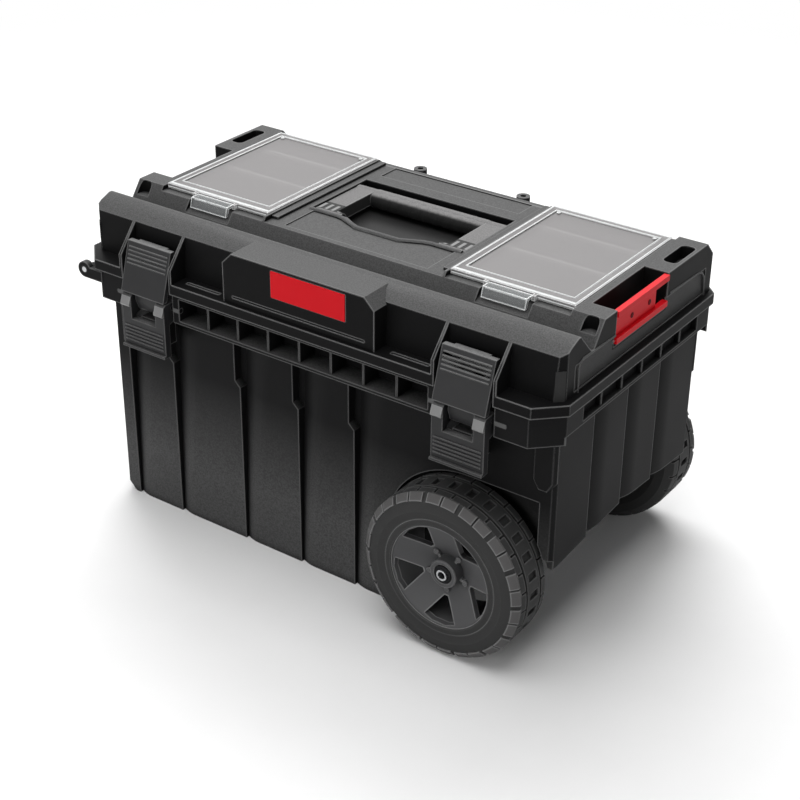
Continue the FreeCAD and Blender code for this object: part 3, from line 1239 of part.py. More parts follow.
def build_latches():
    """Make the draw latches: lever on a pin in the rim, draw plate on a pin in the lever."""
    half = "(latch_width / 2)"

    def lever(name):
        low = f"{LATCH_X} - {half}"
        high = f"{LATCH_X} + {half}"
        crown_y = f"({LATCH_PIN_Y} + lever_back)"
        body = prism(name + "_body", "YZ", [
            (LEVER_FACE, f"{LATCH_PIN_Z} + lever_crown - lever_lip"),
            (LEVER_FACE, f"{LEVER_FOOT} + lever_lip"),
            (f"{LEVER_FACE} - lever_lip", f"{LEVER_FOOT} + lever_lip"),
            (f"{LEVER_FACE} - lever_lip", LEVER_FOOT),
            (LEVER_REAR, LEVER_FOOT),
            (LEVER_REAR, f"{DRAW_PIN_Z} - 2 * draw_barrel"),
            (crown_y, f"{DRAW_PIN_Z} - draw_barrel"),
            (crown_y, f"{LATCH_PIN_Z} + lever_crown - lever_lip"),
            (f"{crown_y} - lever_lip", f"{LATCH_PIN_Z} + lever_crown"),
            (f"{LEVER_FACE} + lever_lip", f"{LATCH_PIN_Z} + lever_crown"),
        ], low, high)
        window = box(name + "_window",
                     (f"{low} + lever_arm", f"{LEVER_FACE} - lever_lip", f"{LATCH_PIN_Z} - lever_window"),
                     (f"{high} - lever_arm", f"{crown_y} + lever_lip", f"{LATCH_PIN_Z} + 2 * lever_crown"))
        ridges = []
        for index in range(GRIP_RIDGES):
            foot = f"({LEVER_FOOT} + lever_lip + ({index} + 1) * grip_ridge_pitch)"
            ridges.append(prism(f"{name}_ridge_{index}", "YZ", [
                (LEVER_FACE, foot),
                (f"{LEVER_FACE} - grip_ridge", f"{foot} + grip_ridge"),
                (f"{LEVER_FACE} - grip_ridge", f"{foot} + 2 * grip_ridge"),
                (LEVER_FACE, f"{foot} + 2 * grip_ridge"),
            ], f"{low} + lever_lip", f"{high} - lever_lip"))
        pivot = rod(name + "_pivot", "X", (f"{low} - lever_lip", LATCH_PIN_Y, LATCH_PIN_Z),
                    "latch_pin_radius + running_fit", "latch_width + 2 * lever_lip")
        seat = rod(name + "_seat", "X", (f"{low} + lever_lip", LATCH_PIN_Y, DRAW_PIN_Z),
                   "draw_pin_radius", "latch_width - 2 * lever_lip")
        return cut(name, fuse(name + "_ridged", body, *ridges), window, pivot, seat)

    def plate(name):
        low = f"{LATCH_X} - {half}"
        high = f"{LATCH_X} + {half}"
        top_face = f"({LEVER_FACE} + draw_plate_lean)"
        hook_tip = f"(0 - {LID_SIDE} - keeper_reach - end_float)"
        leaf = prism(name + "_leaf", "YZ", [
            (LEVER_FACE, PLATE_FOOT),
            (f"{LEVER_FACE} + draw_plate", PLATE_FOOT),
            (f"{top_face} + draw_plate", PLATE_TOP),
            (top_face, PLATE_TOP),
        ], low, high)
        hook = box(name + "_hook",
                   (f"{LATCH_X} - keeper_width / 2", f"{top_face} + draw_plate / 2",
                    f"{PLATE_TOP} - keeper_thickness + end_float"),
                   (f"{LATCH_X} + keeper_width / 2", hook_tip, PLATE_TOP))
        tongue_low = f"({low} + lever_arm + tongue_gap)"
        tongue_high = f"({high} - lever_arm - tongue_gap)"
        tongue = prism(name + "_tongue", "YZ", [
            (f"{LEVER_FACE} + tongue_recess", f"{PLATE_FOOT} + draw_plate"),
            (f"{LEVER_FACE} + tongue_recess", LATCH_PIN_Z),
            (f"{LATCH_PIN_Y} - draw_barrel", f"{DRAW_PIN_Z} - draw_pin_radius"),
            (LATCH_PIN_Y, f"{DRAW_PIN_Z} - draw_pin_radius"),
            (LATCH_PIN_Y, f"{DRAW_PIN_Z} + draw_pin_radius"),
            (f"{LATCH_PIN_Y} - latch_pin_radius - tongue_gap", LATCH_PIN_Z),
            (f"{LATCH_PIN_Y} - latch_pin_radius - tongue_gap", f"{PLATE_FOOT} + draw_plate"),
        ], tongue_low, tongue_high)
        barrel = rod(name + "_barrel", "X", (tongue_low, LATCH_PIN_Y, DRAW_PIN_Z), "draw_barrel",
                     f"{tongue_high} - {tongue_low}")
        bore = rod(name + "_bore", "X", (low, LATCH_PIN_Y, DRAW_PIN_Z), "draw_pin_radius + running_fit",
                   "latch_width")
        ridges = []
        for index in range(GRIP_RIDGES):
            drop = f"(({index} + 1) * grip_ridge_pitch)"
            slope = "(draw_plate_lean / draw_plate_rise)"
            face = f"({top_face} - {drop} * {slope})"
            ridges.append(prism(f"{name}_ridge_{index}", "YZ", [
                (f"{face} + grip_ridge", f"{PLATE_TOP} - {drop}"),
                (f"{face} - grip_ridge", f"{PLATE_TOP} - {drop} - grip_ridge"),
                (f"{face} - grip_ridge", f"{PLATE_TOP} - {drop} - 2 * grip_ridge"),
                (f"{face} + grip_ridge", f"{PLATE_TOP} - {drop} - 2 * grip_ridge"),
            ], f"{low} + lever_lip", f"{high} - lever_lip"))
        return cut(name, fuse(name + "_body", leaf, hook, tongue, barrel, *ridges), bore)

    def latch_pin(name):
        return rod(name, "X", (f"{LATCH_X} - {LATCH_BAY} - latch_cheek", LATCH_PIN_Y, LATCH_PIN_Z),
                   "latch_pin_radius", f"2 * ({LATCH_BAY} + latch_cheek)")

    def draw_pin(name):
        return rod(name, "X", (f"{LATCH_X} - {half} + lever_lip", LATCH_PIN_Y, DRAW_PIN_Z),
                   "draw_pin_radius", "latch_width - 2 * lever_lip")

    both_sides("latch_lever", lever)
    both_sides("latch_plate", plate)
    both_sides("latch_pin", latch_pin)
    both_sides("draw_pin", draw_pin)


def build_hinge_pins():
    """Make the steel pins of the rear hinge."""

    def pin(name):
        reach = "(hinge_leaf / 2 + hinge_side_gap + hinge_ear)"
        return rod(name, "X", (f"{HINGE_X} - {reach}", HINGE_Y, HINGE_Z), "hinge_pin_radius", f"2 * {reach}")

    both_sides("hinge_pin", pin)


def turned_body(name, points, turn, spot):
    """Make a body by turning an outline of radius and height about its own axis."""
    body = doc.addObject("PartDesign::Body", name)
    sketch = body.newObject("Sketcher::SketchObject", name + "_outline")
    sketch.AttachmentSupport = [(origin_plane(body, "XZ_Plane"), "")]
    sketch.MapMode = "FlatFace"
    outline(sketch, points)
    spin = body.newObject("PartDesign::Revolution", name + "_turned")
    spin.Profile = sketch
    spin.ReferenceAxis = (sketch, ["V_Axis"])
    spin.Angle = 360
    body.Placement = Placement(Vector(), turn)
    place(body, spot)
    doc.recompute()
    return body


def origin_plane(body, role):
    """Return one of a body's own origin planes."""
    return next(item for item in body.Origin.OriginFeatures if item.Role == role)


def patterned_pocket(body, name, points, start, depth, count):
    """Pocket an outline from a level of the body's axis upward and repeat it round that axis."""
    before = body.Shape.Volume
    sketch = body.newObject("Sketcher::SketchObject", name + "_outline")
    sketch.AttachmentSupport = [(origin_plane(body, "XY_Plane"), "")]
    sketch.MapMode = "FlatFace"
    outline(sketch, points)
    sketch.setExpression("AttachmentOffset.Base.z", formula(start))
    pocket = body.newObject("PartDesign::Pocket", name)
    pocket.Profile = sketch
    pocket.Reversed = True
    drive(pocket, Length=depth)
    doc.recompute()
    if not pocket.Shape.Volume < before:
        raise RuntimeError(f"{name} cut nothing")
    ring = body.newObject("PartDesign::PolarPattern", name + "_ring")
    ring.Originals = [pocket]
    ring.Axis = (sketch, ["N_Axis"])
    ring.Angle = 360
    ring.Occurrences = count
    body.Tip = ring
    doc.recompute()


def build_wheels():
    """Make the wheels, tyres, washers, retainers and the axle tube."""
    for end_name, sign in ENDS.items():
        facing = AXIS_TURN["Y"] if sign < 0 else Rotation(Vector(1, 0, 0), 90)
        turn = facing * Rotation(Vector(0, 0, 1), WINDOW_TURN)
        spot = (AXLE_X, f"{sign} * {WHEEL_FACE}", AXLE_Z)
        band_in = f"({WHEEL_RADIUS} - wheel_band)"
        spoke_back = "(spoke_face + spoke_thickness)"
        wheel = turned_body(f"{end_name}_wheel", [
            ("axle_radius + running_fit", "hub_face"),
            ("hub_radius", "hub_face"),
            ("hub_radius", "spoke_face + spoke_dish"),
            (band_in, "spoke_face"),
            (band_in, "wheel_band_margin"),
            (WHEEL_RADIUS, "wheel_band_margin"),
            (WHEEL_RADIUS, "tyre_width - wheel_band_margin"),
            (band_in, "tyre_width - wheel_band_margin"),
            (band_in, spoke_back),
            ("hub_radius", f"{spoke_back} + spoke_dish"),
            ("hub_radius", "tyre_width + hub_inner"),
            ("axle_radius + running_fit", "tyre_width + hub_inner"),
        ], turn, spot)
        corner = f"({band_in} - spoke_corner_gap)"
        crown = f"({band_in} - spoke_crown_gap)"
        spoke_side = f"spoke_width / {2 * math.cos(SPOKE_HALF_ANGLE):.5f}"
        root_half = f"({math.tan(SPOKE_HALF_ANGLE):.5f} * spoke_root - {spoke_side})"
        corner_half = f"({math.tan(SPOKE_HALF_ANGLE):.5f} * {corner} - {spoke_side})"
        patterned_pocket(wheel, f"{end_name}_wheel_window", [
            ("spoke_root", root_half),
            ("spoke_root", f"0 - {root_half}"),
            (corner, f"0 - {corner_half}"),
            (crown, "0 - spoke_crown / 2"),
            (crown, "spoke_crown / 2"),
            (corner, corner_half),
        ], "0", "2 * spoke_face + spoke_thickness + spoke_dish", SPOKES)
        keep(f"{end_name}_wheel", wheel)

        shoulder = f"({TYRE_RADIUS} - tyre_shoulder)"
        tyre = turned_body(f"{end_name}_tyre", [
            (WHEEL_RADIUS, "wheel_band_margin"),
            (f"{WHEEL_RADIUS} + tyre_shoulder", "0"),
            (shoulder, "wheel_band_margin"),
            (f"{TYRE_RADIUS} - wheel_band_margin / 2", "tyre_shoulder"),
            (TYRE_RADIUS, "tread_row"),
            (f"{TYRE_RADIUS} - tread_depth", "tread_row"),
            (f"{TYRE_RADIUS} - tread_depth", "tread_row + tread_groove"),
            (TYRE_RADIUS, "tread_row + tread_groove"),
            (TYRE_RADIUS, "tyre_width - tread_row - tread_groove"),
            (f"{TYRE_RADIUS} - tread_depth", "tyre_width - tread_row - tread_groove"),
            (f"{TYRE_RADIUS} - tread_depth", "tyre_width - tread_row"),
            (TYRE_RADIUS, "tyre_width - tread_row"),
            (f"{TYRE_RADIUS} - wheel_band_margin / 2", "tyre_width - tyre_shoulder"),
            (shoulder, "tyre_width - wheel_band_margin"),
            (f"{WHEEL_RADIUS} + tyre_shoulder", "tyre_width"),
            (WHEEL_RADIUS, "tyre_width - wheel_band_margin"),
        ], turn, spot)
        groove = [
            (f"{TYRE_RADIUS} - tread_depth", "tread_gap / 2"),
            (f"{TYRE_RADIUS} - tread_depth", "0 - tread_gap / 2"),
            (f"{TYRE_RADIUS} + tread_depth", "0 - tread_gap / 2"),
            (f"{TYRE_RADIUS} + tread_depth", "tread_gap / 2"),
        ]
        patterned_pocket(tyre, f"{end_name}_outer_tread", groove, "0", "tread_row", TREAD_BLOCKS)
        patterned_pocket(tyre, f"{end_name}_inner_tread", groove, "tyre_width - tread_row", "tread_row",
                         TREAD_BLOCKS)
        pocket_low = "(tread_pocket_shift - tread_pocket_width / 2)"
        pocket_high = "(tread_pocket_shift + tread_pocket_width / 2)"
        patterned_pocket(tyre, f"{end_name}_crown_tread", [
            (f"{TYRE_RADIUS} - tread_depth", pocket_low),
            (f"{TYRE_RADIUS} + tread_depth", pocket_low),
            (f"{TYRE_RADIUS} + tread_depth", pocket_high),
            (f"{TYRE_RADIUS} - tread_depth", pocket_high),
        ], "tread_pocket_margin", "tyre_width - 2 * tread_pocket_margin", TREAD_BLOCKS)
        keep(f"{end_name}_tyre", tyre)

        keep(f"{end_name}_washer", turned_body(f"{end_name}_washer", [
            ("axle_radius", "tyre_width + hub_inner + end_float"),
            ("washer_radius", "tyre_width + hub_inner + end_float"),
            ("washer_radius", "tyre_width + hub_inner + end_float + washer_thickness"),
            ("axle_radius", "tyre_width + hub_inner + end_float + washer_thickness"),
        ], turn, spot))
        keep(f"{end_name}_retainer", turned_body(f"{end_name}_retainer", [
            ("axle_radius", "hub_face - end_float - retainer_thickness"),
            ("retainer_radius", "hub_face - end_float - retainer_thickness"),
            ("retainer_radius", "hub_face - end_float"),
            ("axle_radius", "hub_face - end_float"),
        ], turn, spot))
    axle_end = f"({HUB_FACE} + end_float + 2 * retainer_thickness)"
    tube = rod("axle_blank", "Y", (AXLE_X, f"0 - {axle_end}", AXLE_Z), "axle_radius",
               f"2 * {axle_end}")
    bore = rod("axle_bore_tool", "Y", (AXLE_X, f"0 - {axle_end} - axle_bore", AXLE_Z), "axle_bore",
               f"2 * ({axle_end} + axle_bore)")
    keep("axle_tube", cut("axle_tube", tube, bore))


def build_tow_bail():
    """Make the tow bail that hangs on a rod between the two ears, with its grip."""
    keep("tow_rod", rod("tow_rod", "Y", (TOW_X, f"0 - {TOW_EAR_OUT}", TOW_Z), "tow_rod_radius",
                        f"2 * {TOW_EAR_OUT}"))
    arms = []
    for end_name, sign in ENDS.items():
        outer = f"({sign} * tow_width / 2)"
        inner = f"({sign} * (tow_width / 2 - tow_arm_width))"
        low, high = (outer, inner) if sign < 0 else (inner, outer)
        arms.append(rod(f"tow_eye_{end_name}", "Y", (TOW_X, low, TOW_Z), "tow_barrel", "tow_arm_width"))
        arms.append(box(f"tow_arm_{end_name}",
                        (f"{TOW_X} - tow_arm_thickness / 2", low, f"{TOW_FOOT} - tow_bar_radius"),
                        (f"{TOW_X} + tow_arm_thickness / 2", high, TOW_Z)))
    bar = rod("tow_bar", "Y", (TOW_X, "0 - tow_width / 2", TOW_FOOT), "tow_bar_radius", "tow_width")
    bore = rod("tow_eye_bore", "Y", (TOW_X, "0 - tow_width", TOW_Z), "tow_rod_radius + running_fit",
               "2 * tow_width")
    keep("tow_bail", cut("tow_bail", fuse("tow_frame", bar, *arms), bore))
    sleeve = rod("tow_sleeve", "Y", (TOW_X, "0 - tow_grip_length / 2", TOW_FOOT), "tow_grip_radius",
                 "tow_grip_length")
    core = rod("tow_sleeve_core", "Y", (TOW_X, "0 - tow_grip_length", TOW_FOOT), "tow_bar_radius",
               "2 * tow_grip_length")
    keep("tow_grip", cut("tow_grip", sleeve, core))


def check_and_write():
    """Stop on any failed object, then write each sub-part to its own file."""
    doc.recompute()
    for item in doc.Objects:
        if "Invalid" in item.State or "Error" in item.State:
            raise RuntimeError(f"{item.Name} failed: {item.State}")
    os.makedirs("parts", exist_ok=True)
    for name, item in pieces.items():
        shape = item.Shape
        if shape.isNull() or not shape.isValid() or not shape.Solids:
            raise RuntimeError(f"{name} has no valid solid")
    for name, item in pieces.items():
        item.Shape.exportStep(f"parts/{name}.step")
        print(f"{name}: {len(item.Shape.Solids)} solid, {item.Shape.Volume / 1000:.1f} cm3")


build_tub()
build_lid()
build_covers()
build_handle()
build_side_clip()
build_latches()
build_hinge_pins()
build_wheels()
build_tow_bail()
check_and_write()
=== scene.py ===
"""Looks of a wheeled jobsite storage box, built around the fixed frame of its solids.

Lengths are in millimetres until a mesh is made. The frame is the part's own:
+X to the wheel end, -Y to the latch side, +Z up, with the floor at zero.
"""
import logging
import math
from abc import ABC, abstractmethod
from dataclasses import dataclass, field
from enum import Enum
from typing import Any, Mapping, Sequence

import bmesh
import bpy
from mathutils import Matrix, Vector


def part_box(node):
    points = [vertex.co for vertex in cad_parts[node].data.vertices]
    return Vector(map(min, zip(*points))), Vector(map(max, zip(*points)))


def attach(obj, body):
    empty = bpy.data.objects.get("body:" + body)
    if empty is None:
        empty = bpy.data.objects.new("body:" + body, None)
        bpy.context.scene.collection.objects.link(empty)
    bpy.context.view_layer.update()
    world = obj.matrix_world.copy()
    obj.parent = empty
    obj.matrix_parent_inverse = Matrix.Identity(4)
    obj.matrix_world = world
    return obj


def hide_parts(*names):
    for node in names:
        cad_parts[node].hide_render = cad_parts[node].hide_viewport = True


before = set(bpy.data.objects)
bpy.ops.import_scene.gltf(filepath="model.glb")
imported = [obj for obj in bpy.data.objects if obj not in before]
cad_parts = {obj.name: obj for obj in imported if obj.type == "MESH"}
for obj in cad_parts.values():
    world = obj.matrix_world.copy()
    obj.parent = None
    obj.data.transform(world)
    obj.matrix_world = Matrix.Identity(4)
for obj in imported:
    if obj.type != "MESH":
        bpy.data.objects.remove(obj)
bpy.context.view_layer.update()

MM = 0.001
LOG = logging.getLogger("storage_box")
AO_SAMPLES = 6
EDGE_RANGE = (0.68, 0.95)  # share of open rays inside a solid, from on an edge to well away from it
NOISE_RANGE = (0.3, 0.7)  # where most of Blender's noise lies
WELD_MM = 0.005
FLAT_DEG = 0.4
BEVEL_DEG = 32
BEVEL_STEPS = 2
SPLIT_DEG = 24
NORMAL_WEIGHT = 80
MITRE_LIMIT = 0.5  # a sharper corner of a bead isn't stretched further
STEEP_AXIS = 0.9  # an axis that is nearer upright starts its sweep from X
SIDES = {"left": -1, "right": 1}
ENDS = {"front": -1, "rear": 1}

Point = tuple[float, float, float]
Flat = tuple[float, float]


class Slot(Enum):
    """Material slots of the part's record that added pieces belong to."""

    SHELL = "black_shell"
    RED = "red_plastic"
    CLEAR = "clear_plastic"
    LATCH = "latch_plastic"
    HANDLE = "handle_plastic"
    GRIP = "grip_rubber"
    WHEEL = "wheel_plastic"
    TYRE = "tyre_rubber"


def linear(code: str) -> tuple[float, float, float, float]:
    """Turn an sRGB hex colour into linear values.

    Args:
        code: Six hex digits, with or without a leading hash.

    Returns:
        Red, green, blue and a full alpha.
    """
    digits = code.lstrip("#")
    shares = [int(digits[index:index + 2], 16) / 255 for index in (0, 2, 4)]
    red, green, blue = (
        share / 12.92 if share <= 0.04045 else ((share + 0.055) / 1.055) ** 2.4 for share in shares
    )
    return red, green, blue, 1.0


def per_metre(size_mm: float) -> float:
    """Return the pattern scale at which one cell is this many millimetres wide."""
    return 1 / (size_mm * MM)


def add_node(tree: bpy.types.NodeTree, kind: str, inputs: Mapping[Any, Any] | None = None,
             **settings: Any) -> bpy.types.Node:
    """Add a node to a tree, with its settings, values and links.

    Args:
        tree: The node tree that gets the node.
        kind: Blender's name for the type of node.
        inputs: For each input, by name or number, a value or the socket that feeds it.
        settings: Properties of the node itself.

    Returns:
        The new node.
    """
    node = tree.nodes.new(kind)
    for name, value in settings.items():
        setattr(node, name, value)
    for name, value in (inputs or {}).items():
        if isinstance(value, bpy.types.NodeSocket):
            tree.links.new(value, node.inputs[name])
        else:
            node.inputs[name].default_value = value
    return node


def new_tree(name: str) -> tuple[bpy.types.Material, bpy.types.NodeTree]:
    """Make an empty node material.

    Args:
        name: What the material is called.

    Returns:
        The material and its cleared node tree.
    """
    material = bpy.data.materials.new(name)
    material.use_nodes = True
    material.node_tree.nodes.clear()
    return material, material.node_tree


def painted_highlight_mask(tree: bpy.types.NodeTree, reach_mm: float) -> bpy.types.NodeSocket:
    """Find the outward edges of a solid, where a highlight is painted paler into the colour.

    Args:
        tree: The material's node tree.
        reach_mm: How far from the edge the mask fades out.

    Returns:
        A socket that is one on the edge and zero away from it.
    """
    inside = add_node(tree, "ShaderNodeAmbientOcclusion", {"Distance": reach_mm * MM},
                      samples=AO_SAMPLES, inside=True, only_local=True)
    return add_node(tree, "ShaderNodeMapRange",
                    {"Value": inside.outputs["AO"], "From Min": EDGE_RANGE[0], "From Max": EDGE_RANGE[1],
                     "To Min": 1.0, "To Max": 0.0}).outputs["Result"]


@dataclass(frozen=True)
class PaintedSheen:
    """A grey painted into the colour of a dark moulding where the light falls on it, breaking up in its
    grain.

    It is a painted sheen on open faces that look up, and a painted reflection of the floor on the foot of
    the long walls, and greys them there. It fades out below deep_mm, between those two levels, and in
    nooks, as painted shade.
    """

    colour: str
    up: float
    foot: float = 0.0
    steep: Flat = (0.15, 0.65)
    deep_mm: Flat = (-2.0, -1.0)
    nook_mm: float = 14.0
    foot_mm: Flat = (190.0, 70.0)
    wall_range: Flat = (0.55, 0.95)
    grain_range: Flat = (0.35, 0.65)
    open_range: Flat = (0.4, 0.8)
    speckle: float = 0.6

    def lay(self, tree: bpy.types.NodeTree, under: bpy.types.NodeSocket,
            grain: bpy.types.NodeSocket) -> bpy.types.NodeSocket:
        """Mix the painted sheen over a colour.

        Args:
            tree: The material's node tree.
            under: The colour that it lies on.
            grain: The grain that breaks it into a speckle.

        Returns:
            The mixed colour.
        """
        where = add_node(tree, "ShaderNodeTexCoord")
        facing = add_node(tree, "ShaderNodeSeparateXYZ", {"Vector": where.outputs["Normal"]})
        level = add_node(tree, "ShaderNodeSeparateXYZ", {"Vector": where.outputs["Object"]})
        top = add_node(tree, "ShaderNodeMapRange",
                       {"Value": facing.outputs["Z"], "From Min": self.steep[0], "From Max": self.steep[1],
                        "To Min": 0.0, "To Max": self.up})
        top_share = add_node(tree, "ShaderNodeMapRange",
                           {"Value": level.outputs["Z"], "From Min": self.deep_mm[0] * MM,
                            "From Max": self.deep_mm[1] * MM, "To Min": 0.0, "To Max": top.outputs["Result"]})
        low = add_node(tree, "ShaderNodeMapRange",
                       {"Value": level.outputs["Z"], "From Min": self.foot_mm[0] * MM,
                        "From Max": self.foot_mm[1] * MM, "To Min": 0.0, "To Max": self.foot})
        along = add_node(tree, "ShaderNodeMath", {0: facing.outputs["Y"], 1: facing.outputs["Y"]},
                         operation="MULTIPLY")
        wall = add_node(tree, "ShaderNodeMapRange",
                        {"Value": along.outputs[0], "From Min": self.wall_range[0],
                         "From Max": self.wall_range[1], "To Min": 0.0, "To Max": low.outputs["Result"]})
        sheen_share = add_node(tree, "ShaderNodeMath", {0: top_share.outputs["Result"], 1: wall.outputs["Result"]},
                        operation="MAXIMUM")
        speckle = add_node(tree, "ShaderNodeMapRange",
                           {"Value": grain, "From Min": self.grain_range[0], "From Max": self.grain_range[1],
                            "To Min": self.speckle, "To Max": 1.0})
        # Nooks get less of it: painted shade.
        open_air = add_node(tree, "ShaderNodeAmbientOcclusion", {"Distance": self.nook_mm * MM},
                            samples=AO_SAMPLES)
        bare = add_node(tree, "ShaderNodeMapRange",
                        {"Value": open_air.outputs["AO"], "From Min": self.open_range[0],
                         "From Max": self.open_range[1], "To Min": 0.0, "To Max": speckle.outputs["Result"]})
        amount = add_node(tree, "ShaderNodeMath", {0: sheen_share.outputs[0], 1: bare.outputs["Result"]},
                          operation="MULTIPLY")
        return add_node(tree, "ShaderNodeMix",
                        {"Factor": amount.outputs[0], 6: under, 7: linear(self.colour)},
                        data_type="RGBA").outputs[2]


@dataclass(frozen=True, kw_only=True)
class Finish(ABC):
    """A material, as its maker left it, whose sheen changes a little from place to place."""

    name: str
    colour: str
    roughness: float
    sheen_spread: float

    def make(self) -> bpy.types.Material:
        """Build the material.

        Returns:
            The finished node material.
        """
        material, tree = new_tree(self.name)
        surface = add_node(tree, "ShaderNodeBsdfPrincipled", self.sockets(tree))
        add_node(tree, "ShaderNodeOutputMaterial", {"Surface": surface.outputs["BSDF"]})
        return material

    @abstractmethod
    def sockets(self, tree: bpy.types.NodeTree) -> dict[str, Any]:
        """Work out what goes into the shader.

        Args:
            tree: The material's node tree.

        Returns:
            A value or a feeding socket for each of the shader's inputs that is set.
        """

    def gloss(self, tree: bpy.types.NodeTree, pattern: bpy.types.NodeSocket) -> bpy.types.NodeSocket:
        """Let a pattern change the roughness.

        Args:
            tree: The material's node tree.
            pattern: The noise that it follows.

        Returns:
            The roughness.
        """
        return add_node(tree, "ShaderNodeMapRange",
                        {"Value": pattern, "From Min": NOISE_RANGE[0], "From Max": NOISE_RANGE[1],
                         "To Min": self.roughness - self.sheen_spread,
                         "To Max": self.roughness + self.sheen_spread}).outputs["Result"]


@dataclass(frozen=True, kw_only=True)
class MouldedPlastic(Finish):
    """An opaque injection-moulded plastic or rubber.

    The mould's spark-eroded texture breaks the gloss into a fine grain, and the flow of the
    melt leaves slow, faint changes of shade and sheen over a hand's width. Real grains are some
    0.2 to 0.5 mm wide, which is too fine to show, so every grain_mm is drawn coarser.
    """

    flow_colour: str
    edge_highlight_colour: str
    sheen_spread: float = 0.03
    specular: float = 0.2
    grain_mm: float = 1.4
    grain_depth_mm: float = 0.02
    ior: float = 1.49
    flow_mm: float = 140.0
    edge_mm: float = 1.6
    painted_sheen: PaintedSheen | None = None

    def sockets(self, tree: bpy.types.NodeTree) -> dict[str, Any]:
        """Work out what goes into the shader.

        Args:
            tree: The material's node tree.

        Returns:
            A value or a feeding socket for each of the shader's inputs that is set.
        """
        place = add_node(tree, "ShaderNodeTexCoord").outputs["Object"]
        flow = add_node(tree, "ShaderNodeTexNoise",
                        {"Vector": place, "Scale": per_metre(self.flow_mm), "Detail": 3.0,
                         "Roughness": 0.55}).outputs["Fac"]
        grain = add_node(tree, "ShaderNodeTexNoise",
                         {"Vector": place, "Scale": per_metre(self.grain_mm), "Detail": 2.0,
                          "Roughness": 0.6}).outputs["Fac"]
        body = add_node(tree, "ShaderNodeMix",
                        {"Factor": flow, 6: linear(self.colour), 7: linear(self.flow_colour)},
                        data_type="RGBA").outputs[2]
        # A painted sheen and a painted floor reflection, where the finish has them.
        if self.painted_sheen:
            body = self.painted_sheen.lay(tree, body, grain)
        # The edges are painted paler: a painted highlight.
        tint = add_node(tree, "ShaderNodeMix",
                        {"Factor": painted_highlight_mask(tree, self.edge_mm), 6: body, 7: linear(self.edge_highlight_colour)},
                        data_type="RGBA")
        gloss = self.gloss(tree, flow)
        bump = add_node(tree, "ShaderNodeBump",
                        {"Height": grain, "Strength": 1.0, "Distance": self.grain_depth_mm * MM})
        return {"Base Color": tint.outputs[2], "Roughness": gloss, "IOR": self.ior,
                "Specular IOR Level": self.specular, "Normal": bump.outputs["Normal"]}


@dataclass(frozen=True, kw_only=True)
class ClearPlastic(Finish):
    """Polycarbonate from a polished mould, hazed by handling.

    It passes the dark of the wells, carries a pale milky veil that is partly a painted reflection of the
    light above, and has a painted highlight along its edges.
    """

    edge_highlight_colour: str
    alpha: float
    edge_highlight_alpha: float
    specular: float
    haze_mm: float
    edge_mm: float = 1.6
    ior: float = 1.585
    sheen_spread: float = 0.04

    def sockets(self, tree: bpy.types.NodeTree) -> dict[str, Any]:
        """Work out what goes into the shader.

        Args:
            tree: The material's node tree.

        Returns:
            A value or a feeding socket for each of the shader's inputs that is set.
        """
        place = add_node(tree, "ShaderNodeTexCoord").outputs["Object"]
        haze = add_node(tree, "ShaderNodeTexNoise",
                        {"Vector": place, "Scale": per_metre(self.haze_mm), "Detail": 4.0,
                         "Roughness": 0.6}).outputs["Fac"]
        # The edges get a paler, more opaque painted highlight.
        edge = painted_highlight_mask(tree, self.edge_mm)
        gloss = self.gloss(tree, haze)
        tint = add_node(tree, "ShaderNodeMix",
                        {"Factor": edge, 6: linear(self.colour), 7: linear(self.edge_highlight_colour)},
                        data_type="RGBA")
        veil = add_node(tree, "ShaderNodeMapRange",
                        {"Value": edge, "To Min": self.alpha, "To Max": self.edge_highlight_alpha})
        return {"Base Color": tint.outputs[2], "Roughness": gloss, "IOR": self.ior,
                "Specular IOR Level": self.specular, "Alpha": veil.outputs["Result"]}


@dataclass(frozen=True, kw_only=True)
class PlatedSteel(Finish):
    """Drawn or stamped steel under a thin finish.

    The finish softens the metal's shine and mottles it slightly.
    """

    dull_colour: str
    mottle_mm: float
    sheen_spread: float = 0.06

    def sockets(self, tree: bpy.types.NodeTree) -> dict[str, Any]:
        """Work out what goes into the shader.

        Args:
            tree: The material's node tree.

        Returns:
            A value or a feeding socket for each of the shader's inputs that is set.
        """
        place = add_node(tree, "ShaderNodeTexCoord").outputs["Object"]
        mottle = add_node(tree, "ShaderNodeTexNoise",
                          {"Vector": place, "Scale": per_metre(self.mottle_mm), "Detail": 3.0,
                           "Roughness": 0.6}).outputs["Fac"]
        tint = add_node(tree, "ShaderNodeMix",
                        {"Factor": mottle, 6: linear(self.colour), 7: linear(self.dull_colour)},
                        data_type="RGBA")
        gloss = self.gloss(tree, mottle)
        return {"Base Color": tint.outputs[2], "Roughness": gloss, "Metallic": 1.0}


# Polypropylene from a spark-eroded mould: deep black, with the grain showing as a soft speckle in the
# light. Its faces that look up carry a painted sheen, and its front and back walls a painted floor
# reflection that is lighter towards the foot.
TUB_FINISH = MouldedPlastic(
    name="black_grained_polypropylene", colour="#131314", flow_colour="#181818", edge_highlight_colour="#585858",
    roughness=0.5, specular=0.05, grain_mm=1.7, grain_depth_mm=0.05,
    painted_sheen=PaintedSheen(colour="#505050", up=0.85, foot=0.9))
# The lid's polypropylene has a finer, flatter grain. The broad even sheen on its top is a painted sheen
# in its colour, which fades out in the deep recesses and nooks as painted shade.
LID_FINISH = MouldedPlastic(
    name="black_fine_grain_polypropylene", colour="#0b0b0c", flow_colour="#0f0f0f", edge_highlight_colour="#666666",
    roughness=0.5, sheen_spread=0.025, specular=0.06, grain_mm=1.3, grain_depth_mm=0.03,
    painted_sheen=PaintedSheen(colour="#565656", up=0.9, deep_mm=(336.0, 343.0), nook_mm=7.0))
